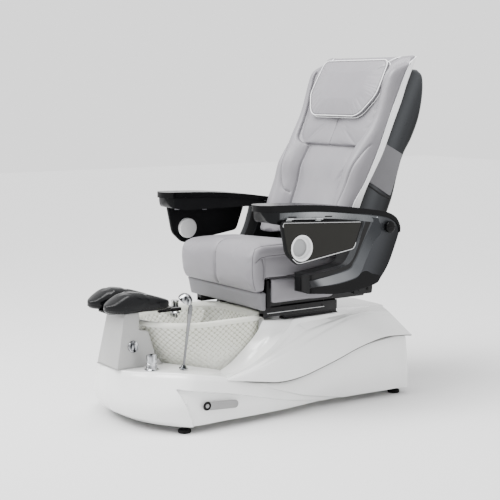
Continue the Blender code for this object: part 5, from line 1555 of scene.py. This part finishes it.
def patches(finishes):
    """Grey fabric pocket on each side of the shell, open along its lower edge, where a black cord paints the
    shade inside the mouth.
    """
    corners = [(0.524, 1.144), (0.650, 1.082), (0.630, 1.015), (0.583, 0.895), (0.447, 0.970)]
    outline = fillet(corners, 0.008, 4)
    for letter, side in SIDES:
        piece(f"pocket_{letter}", side_slab(outline, side, 0.2383, 0.2420, 0.0014, 3), finishes["patch"],
              "back", (f"side_patch_{letter}",))
        hem = evenly(fillet([(0.586, 0.903), (0.578, 0.897), (0.455, 0.968), (0.461, 0.977)], 0.002, 2), 80,
                     True)
        piece(f"pocket_hem_{letter}", side_slab(hem, side, 0.2412, 0.2432, 0.0008, 2),
              finishes["patch"], "back")
        # The black cord along the slot paints the shade inside the pocket's open mouth.
        slot_line = curve_through([(side * 0.2395, 0.440, 0.958), (side * 0.2395, 0.500, 0.922),
                                   (side * 0.2395, 0.540, 0.900), (side * 0.2395, 0.585, 0.884)], 8)
        piece(f"pocket_mouth_shade_{letter}", tube(evenly(slot_line, 40), 0.0040, 8, flatten=0.5),
              finishes["satin_black"], "back")


# Armrests ---------------------------------------------------------------------------------------
ARM_TOP = [(-0.242, 0.8835), (0.014, 0.8760), (0.184, 0.8600), (0.345, 0.8380), (0.415, 0.8220),
           (0.456, 0.7950), (0.470, 0.7570)]
ARM_INNER, ARM_SPLIT, ARM_OUTER = 0.322, 0.392, 0.430


def offset_line(line, distance):
    """Moves an open (Y, Z) line to its left, square to itself."""
    line = np.asarray(line, float)
    along = np.gradient(line, axis=0)
    along /= np.linalg.norm(along, axis=1)[:, None]
    return line + np.column_stack([-along[:, 1], along[:, 0]]) * distance


def arm_top_line():
    return flat_curve(ARM_TOP, 8)


def arm_outline():
    """C-shaped side view: beam above, upright at the rear, lower leg below."""
    outer = [(0.450, 0.707), (0.414, 0.628), (0.373, 0.573), (0.333, 0.542), (0.167, 0.520), (0.010, 0.532)]
    outer = curve_through([(*p, 0.0) for p in [ARM_TOP[-1]] + outer], 6)[1:, :2]
    nose = fillet([(0.010, 0.532), (-0.038, 0.536), (-0.036, 0.612), (0.010, 0.6145)], [0, 0.034, 0.030, 0],
                  8)[1:-1]
    inner = curve_through([(0.010, 0.6145, 0.0), (0.144, 0.631, 0.0), (0.190, 0.643, 0.0),
                           (0.214, 0.668, 0.0),
                           (0.244, 0.722, 0.0), (0.268, 0.792, 0.0)], 6)[:, :2]
    under = fillet([(0.268, 0.792), (0.276, 0.826), (-0.150, 0.826), (-0.222, 0.840), (-0.242, 0.8835)],
                   [0, 0.022, 0.10, 0.030, 0], 8)[1:-1]
    return np.vstack([arm_top_line(), outer, nose, inner, under])


def plan_block(side, x_in, x_out, y_front, radius, low, high, name):
    """Upright block with a rounded front, used to trim the armrest's pieces in plan."""
    corners = [(side * x_in, 0.55), (side * x_in, y_front), (side * x_out, y_front), (side * x_out, 0.55)]
    return plain_object(name, rings_mesh([axis_points(fillet(corners, [0, radius, radius, 0], 12), "z",
                                                      height)
                                   for height in (low, high)]))


def cut(made, other, operation):
    """Applies a Boolean and removes its cutter."""
    change = made.modifiers.new("cut", "BOOLEAN")
    change.operation = operation
    change.solver = "EXACT"
    change.object = other
    finish = made.data.materials[0]
    evaluated_copy(made)
    made.data.materials.clear()
    made.data.materials.append(finish)
    for polygon in made.data.polygons:
        polygon.material_index = 0
    bpy.data.objects.remove(other, do_unlink=True)
    return made


def trimmed_arm(name, outline, side, low, high, finish, x_in, x_out, nose_front, bevel, nodes, body):
    """Arm slice cut from the side view, with both noses rounded in plan and its edges softened."""
    shape = rings_mesh([axis_points(outline, "x", side * low), axis_points(outline, "x", side * high)])
    made = piece(name, shape, finish, body, nodes)
    beam = plan_block(side, x_in, x_out, -0.244, 0.050, 0.700, 0.950, "beam_block")
    leg = plan_block(side, x_in, x_out, nose_front, 0.045, 0.450, 0.710, "leg_block")
    merge = beam.modifiers.new("join", "BOOLEAN")
    merge.operation = "UNION"
    merge.solver = "EXACT"
    merge.object = leg
    evaluated_copy(beam)
    bpy.data.objects.remove(leg, do_unlink=True)
    cut(made, beam, "INTERSECT")
    softened(made, bevel, 3, 38.0)
    shaded_smooth(made, 40)
    return made


def armrest(letter, side, finishes):
    body = f"arm_{letter}"
    outline = arm_outline()
    trimmed_arm(f"arm_inside_{letter}", outline, side, ARM_INNER, ARM_SPLIT, finishes["black_shell"],
                ARM_INNER - 0.001, ARM_OUTER, -0.034, 0.005, (f"arm_inner_{letter}",),
                body)
    # The outer slice takes the graded arm paint, with its painted shade and painted highlight.
    trimmed_arm(f"arm_outside_{letter}", outline, side, ARM_SPLIT + 0.0003, ARM_OUTER,
                finishes["arm_metal_painted_shade"],
                ARM_INNER - 0.001, ARM_OUTER + 0.001, -0.030, 0.006, (f"arm_outer_{letter}",),
                body)
    arm_inlay(letter, side, finishes, body)
    arm_cap(letter, side, finishes, body)


def arm_inlay(letter, side, finishes, body):
    """Bevel beside the gap with a painted highlight, a black lower border round the nose, and the beam's
    strip with a painted highlight band.
    """
    upper = [(0.313, 0.833), (0.322, 0.812), (0.284, 0.753), (0.242, 0.676), (0.221, 0.645), (0.192, 0.617),
             (0.075, 0.598), (-0.014, 0.588)]
    lower = [(-0.006, 0.560), (0.117, 0.564), (0.227, 0.581), (0.261, 0.605), (0.282, 0.646),
             (0.328, 0.723), (0.371, 0.767), (0.352, 0.826)]
    outline = np.vstack([flat_curve(upper, 6), flat_curve(lower, 6)])
    # The bevel's paint carries a painted highlight.
    channel = side_slab(evenly(outline, 260, True), side, ARM_OUTER - 0.006, ARM_OUTER + 0.0012, 0.0012, 3)
    piece(f"arm_channel_{letter}", channel, finishes["arm_bevel_highlight"], body)
    upper_dark = [(-0.026, 0.555), (-0.030, 0.600), (0.010, 0.6150), (0.144, 0.6300), (0.196, 0.6450),
                  (0.228, 0.6850), (0.262, 0.7700), (0.285, 0.8240)]
    upper_light = [(0.312, 0.818), (0.279, 0.7560), (0.238, 0.6790), (0.217, 0.6490), (0.189, 0.6210),
                   (0.075, 0.6020), (-0.008, 0.5900), (-0.010, 0.5560)]
    lower_dark = [(-0.004, 0.5560), (0.117, 0.5600), (0.229, 0.5770), (0.264, 0.6000), (0.292, 0.6040),
                  (0.322, 0.5900),
                  (0.362, 0.5790), (0.372, 0.5600), (0.300, 0.5280), (0.167, 0.5190), (0.010, 0.5300),
                  (-0.040, 0.5400)]
    nose = [(-0.060, 0.520), (-0.003, 0.520), (-0.003, 0.625), (-0.060, 0.625)]
    for part, lines in (("gap", (upper_dark, upper_light)), ("foot", (lower_dark,)), ("nose", (nose,))):
        border = evenly(np.vstack([flat_curve(line, 6) for line in lines]), 300, True)
        if part == "nose":
            border = np.array(nose)
        inner = ARM_SPLIT + 0.0010 if part == "nose" else ARM_OUTER - 0.006
        made = piece(f"arm_{part}_border_{letter}", side_block(border, side, inner, ARM_OUTER + 0.0006),
                     finishes["gloss_black"] if part == "foot" else finishes["satin_black"], body)
        trim = plan_block(side, ARM_INNER - 0.001, ARM_OUTER + 0.0010, -0.031, 0.045, 0.45, 0.90,
                          "border_block")
        cut(made, trim, "INTERSECT")
        edge = inset(arm_outline(), -0.0004 if part == "nose" else 0.0006)
        flat = rings_mesh([axis_points(edge, "x", side * (ARM_OUTER - 0.06)),
                           axis_points(edge, "x", side * (ARM_OUTER + 0.02))])
        cut(made, plain_object("outline_block", flat), "INTERSECT")
    # The beam strip's paint carries a bright painted highlight band.
    strip_low = offset_line(arm_top_line(), -0.030)
    strip = np.vstack([offset_line(arm_top_line(), -0.0035)[:40], strip_low[:40][::-1]])
    strip = evenly(strip, 240, True)
    made = piece(f"arm_beam_strip_{letter}", side_block(strip, side, ARM_OUTER - 0.006, ARM_OUTER + 0.0010),
                 finishes["arm_beam_highlight"], body)
    trim = plan_block(side, ARM_INNER, ARM_OUTER + 0.0012, -0.190, 0.030, 0.75, 0.95, "strip_block")
    cut(made, trim, "INTERSECT")
    softened(made, 0.0006, 2)
    pip = turned([(0.0, 0.0), (0.0022, 0.0), (0.0022, 0.0010), (0.0012, 0.0018), (0.0, 0.0020)],
                 (side * ARM_OUTER, 0.344, 0.831), (side, 0, 0), 16)
    piece(f"arm_pip_{letter}", pip, finishes["lamp"], body)
    for number, y in enumerate((-0.125, 0.060)):
        z = float(np.interp(y, arm_top_line()[:, 0], arm_top_line()[:, 1])) - 0.0245
        outline = fillet([(y, z), (y + 0.040, z - 0.002), (y + 0.040, z + 0.0035), (y, z + 0.0055)], 0.001,
                         2)
        shape = side_slab(outline, side, ARM_OUTER - 0.004, ARM_OUTER + 0.0016, 0.0004, 2)
        piece(f"arm_slot_{letter}_{number}", shape, finishes["satin_black"], body)


def arm_cap(letter, side, finishes, body):
    """Polished pad on top of the beam, thicker and rounded over its edges."""
    under = offset_line(np.vstack([[(-0.275, 0.8845)], arm_top_line()]), 0.0006)
    over = curve_through([(0.4755, 0.7600, 0), (0.4740, 0.7870, 0), (0.452, 0.8230, 0), (0.409, 0.8470, 0),
                          (0.345, 0.8610, 0), (0.184, 0.8840, 0), (0.014, 0.9010, 0), (-0.182, 0.9095, 0),
                          (-0.278, 0.9100, 0)], 8)[:, :2]
    outline = np.vstack([under, over])
    shape = rings_mesh([axis_points(outline, "x", side * (ARM_INNER - 0.006)),
                        axis_points(outline, "x", side * (ARM_OUTER + 0.004))])
    made = piece(f"arm_top_{letter}", shape, finishes["gloss_black"], body, (f"arm_cap_{letter}",))
    trim = plan_block(side, ARM_INNER - 0.0055, ARM_OUTER + 0.0035, -0.253, 0.052, 0.70, 0.95, "cap_block")
    cut(made, trim, "INTERSECT")
    softened(made, 0.0075, 4, 42.0)
    shaded_smooth(made, 60)


def knob(letter, side, finishes):
    profile = [(0.0, 0.0003), (0.0210, 0.0003), (0.0210, 0.0060), (0.0240, 0.0075), (0.0250, 0.0100),
               (0.0250, 0.0180), (0.0240, 0.0210), (0.0215, 0.0232), (0.0150, 0.0240), (0.0, 0.0242)]
    points, faces = turned(profile, (0.0, 0.0, 0.0), (0, 0, 1), 96)
    angle = np.arctan2(points[:, 1], points[:, 0])
    grip = smoothstep(0.0078, 0.0095, points[:, 2]) * (1 - smoothstep(0.0185, 0.0205, points[:, 2]))
    outer = smoothstep(0.020, 0.0235, np.hypot(points[:, 0], points[:, 1]))
    scale = 1 - 0.030 * grip * outer * (0.5 + 0.5 * np.cos(24 * angle))
    points[:, :2] *= scale[:, None]
    turn = np.array(Vector((0, 0, 1)).rotation_difference(Vector((side, 0, 0))).to_matrix())
    place = np.array([side * ARM_OUTER, ARM_PIVOT_Y, ARM_PIVOT_Z])
    rib = slab(fillet([(-0.0032, -0.019), (0.0032, -0.019), (0.0032, 0.019), (-0.0032, 0.019)], 0.003, 4),
               "z", 0.0235, 0.0275, 0.0012, 3)
    knob_shape = joined((points @ turn.T + place, faces), (rib[0] @ turn.T + place, rib[1]))
    piece(f"lock_knob_{letter}", knob_shape, finishes["gloss_black"], f"knob_{letter}",
          (f"arm_knob_{letter}",))


# Trays ------------------------------------------------------------------------------------------
TRAY_IN, TRAY_OUT = 0.4345, 0.4505
CUP_Y, CUP_Z = -0.072, 0.731
HOLE_NEAR, HOLE_FAR = 0.42, 0.47


def tray(letter, side, finishes):
    body = f"tray_{letter}"
    corners = [(-0.178, 0.846), (0.252, 0.8245), (0.206, 0.704), (-0.095, 0.661), (-0.150, 0.712)]
    outline = evenly(fillet(corners, [0.016, 0.014, 0.030, 0.045, 0.060], 14), 300, True)
    made = piece(f"tray_board_{letter}", side_slab(outline, side, TRAY_IN, TRAY_OUT, 0.0035, 4),
                 finishes["black_shell"], body, (f"tray_panel_{letter}",))
    hole = cup_hole(side, 0.0472)
    cut(made, hole, "DIFFERENCE")
    shaded_smooth(made, 40)
    face = inset(outline, 0.0085)
    skin = piece(f"tray_skin_{letter}", side_slab(face, side, TRAY_OUT - 0.003, TRAY_OUT + 0.0006, 0.0006,
                                                  2),
                 finishes["tray_face"], body)
    cut(skin, cup_hole(side, 0.0500), "DIFFERENCE")
    shaded_smooth(skin, 40)
    # Light grey cords along the tray's lower and upper edges paint their edge highlights.
    groove = inset(outline, 0.0060)
    bright = list(axis_points(groove, "x", side * (TRAY_OUT + 0.0010)))
    bottom_share = [p for p in bright if p[2] < 0.735 and p[1] > -0.118]
    bottom_share.sort(key=lambda p: p[1])
    piece(f"tray_edge_highlight_{letter}", tube(evenly(bottom_share, 80), 0.0017, 8), finishes["trim"], body)
    top_share = sorted([p for p in bright if p[2] > 0.818 and p[1] < 0.235], key=lambda p: p[1])
    piece(f"tray_top_edge_highlight_{letter}", tube(evenly(top_share, 80), 0.0010, 8), finishes["trim"], body)
    screw = turned([(0.0, 0.0), (0.0030, 0.0), (0.0030, 0.0008), (0.0020, 0.0014), (0.0, 0.0014)],
                   (side * (TRAY_OUT - 0.001), -0.163, 0.822), (side, 0, 0), 20)
    piece(f"tray_screw_{letter}", screw, finishes["chrome"], body)
    cup = [(0.0, -0.0320), (0.0415, -0.0320), (0.0440, -0.0308), (0.0455, -0.0285), (0.0462, -0.0160),
           (0.0468, 0.0003),
           (0.0540, 0.0003), (0.0543, 0.0014), (0.0536, 0.0034), (0.0520, 0.0048), (0.0500, 0.0050),
           (0.0478, 0.0044), (0.0462, 0.0028), (0.0455, 0.0000), (0.0442, -0.0110), (0.0432, -0.0126),
           (0.0390, -0.0135), (0.0372, -0.0146), (0.0366, -0.0165), (0.0354, -0.0235), (0.0340, -0.0252),
           (0.0300, -0.0260), (0.0, -0.0262)]
    piece(f"cup_{letter}", turned(cup, (side * TRAY_OUT, CUP_Y, CUP_Z), (side, 0, 0), 72), finishes["cup"],
          body, (f"cup_holder_{letter}",))
    # A grey lining paints the shade inside the cup's well.
    well = [(0.0, -0.0258), (0.0300, -0.0256), (0.0338, -0.0248), (0.0350, -0.0234), (0.0362, -0.0166),
            (0.0355, -0.0166),
            (0.0340, -0.0228), (0.0300, -0.0246), (0.0, -0.0250)]
    piece(f"cup_well_shade_{letter}", turned(well, (side * TRAY_OUT, CUP_Y, CUP_Z), (side, 0, 0), 72),
          finishes["cup_well_shade"], body)
    hinge(letter, side, finishes, body)


def cup_hole(side, radius):
    """Round cutter through the tray where the cup holder sits."""
    profile = [(radius, HOLE_NEAR), (radius, HOLE_FAR)]
    return plain_object("hole", turned(profile, (0.0, CUP_Y, CUP_Z), (side, 0, 0), 96))


def hinge(letter, side, finishes, body):
    slope, first, spacing, length = -0.05, -0.142, 0.150, 0.034
    hinge_x, hinge_z = 0.4425, 0.8460
    along = Vector((0, 1, slope)).normalized()
    start = (side * hinge_x, first, hinge_z + slope * first)
    rod = []
    for offset in (0.0, spacing):
        for k in range(3):
            low = offset + k * length / 3
            rod += [(0.0034, low), (0.0040, low + 0.0004), (0.0040, low + length / 3 - 0.0006),
                    (0.0034, low + length / 3 - 0.0002)]
        if not offset:
            rod += [(0.0020, length), (0.0020, spacing)]
    shapes = [turned([(0.0, 0.0)] + rod + [(0.0, spacing + length)], start, along, 24)]
    leaf_in, leaf_out, reach = TRAY_IN - 0.0033, TRAY_IN - 0.0003, 0.034
    for y in (first, first + spacing):
        z = hinge_z + slope * (y + length / 2)
        leaf = fillet([(y + 0.003, z - reach), (y + length - 0.003, z - reach),
                       (y + length - 0.003, z + 0.003),
                       (y + 0.003, z + 0.003)], [0.004, 0.004, 0, 0], 4)
        shapes.append(side_slab(leaf, side, leaf_in, leaf_out, 0.0005, 2))
        top = slab([(leaf_in, y + 0.003), (hinge_x, y + 0.003), (hinge_x, y + length - 0.003),
                    (leaf_in, y + length - 0.003)], "z", z - 0.001, z + 0.003, 0.0005, 2)
        shapes.append((top[0] * np.array([side, 1.0, 1.0]), top[1]))
        for dy in (0.010, 0.024):
            shapes.append(turned([(0.0, 0.0), (0.0030, 0.0), (0.0026, 0.0010), (0.0, 0.0012)],
                                 (side * leaf_in, y + dy, z - 0.020), (-side, 0, 0), 16))
    piece(f"hinge_{letter}", joined(*shapes), finishes["steel"], body, (f"tray_hinge_{letter}",))


# Shown model nodes ------------------------------------------------------------------------------
def finish_shown_nodes(finishes):
    """Inner fittings shown as modelled take their finishes here."""
    for name, finish in (("tub_drain", "chrome"), ("jet_cover", "white"), ("jet_motor", "black_shell"),
                         ("drain_pump", "black_shell"), ("foot_rail_front", "steel"),
                         ("foot_rail_rear", "steel")):
        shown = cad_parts[name]
        for spot in shown.material_slots:
            spot.material = finishes[finish]


# Assembly ---------------------------------------------------------------------------------------
finishes = build_materials()
place_camera()
light_and_floor()
base_hull(finishes["white"])
hood(finishes["white"], finishes["lip_shade_cord"])
foot_bath(finishes["bowl"], finishes["bowl_groove"])
bath_lining(finishes["white"])
pillar(finishes["silver_paint"])
air_button(finishes)
mixing_valve(finishes)
water_filler(finishes)
hand_shower(finishes)
blank_plate(finishes)
levelling_feet(finishes)
footrest(finishes)
rails(finishes)
seat_steel(finishes)
seat(finishes)
skirt(finishes)
side_panels(finishes)
back_cushion(finishes)
back_side_band(finishes)
pillow(finishes)
shell(finishes)
patches(finishes)
for letter, side in SIDES:
    armrest(letter, side, finishes)
    knob(letter, side, finishes)
    tray(letter, side, finishes)
finish_shown_nodes(finishes)
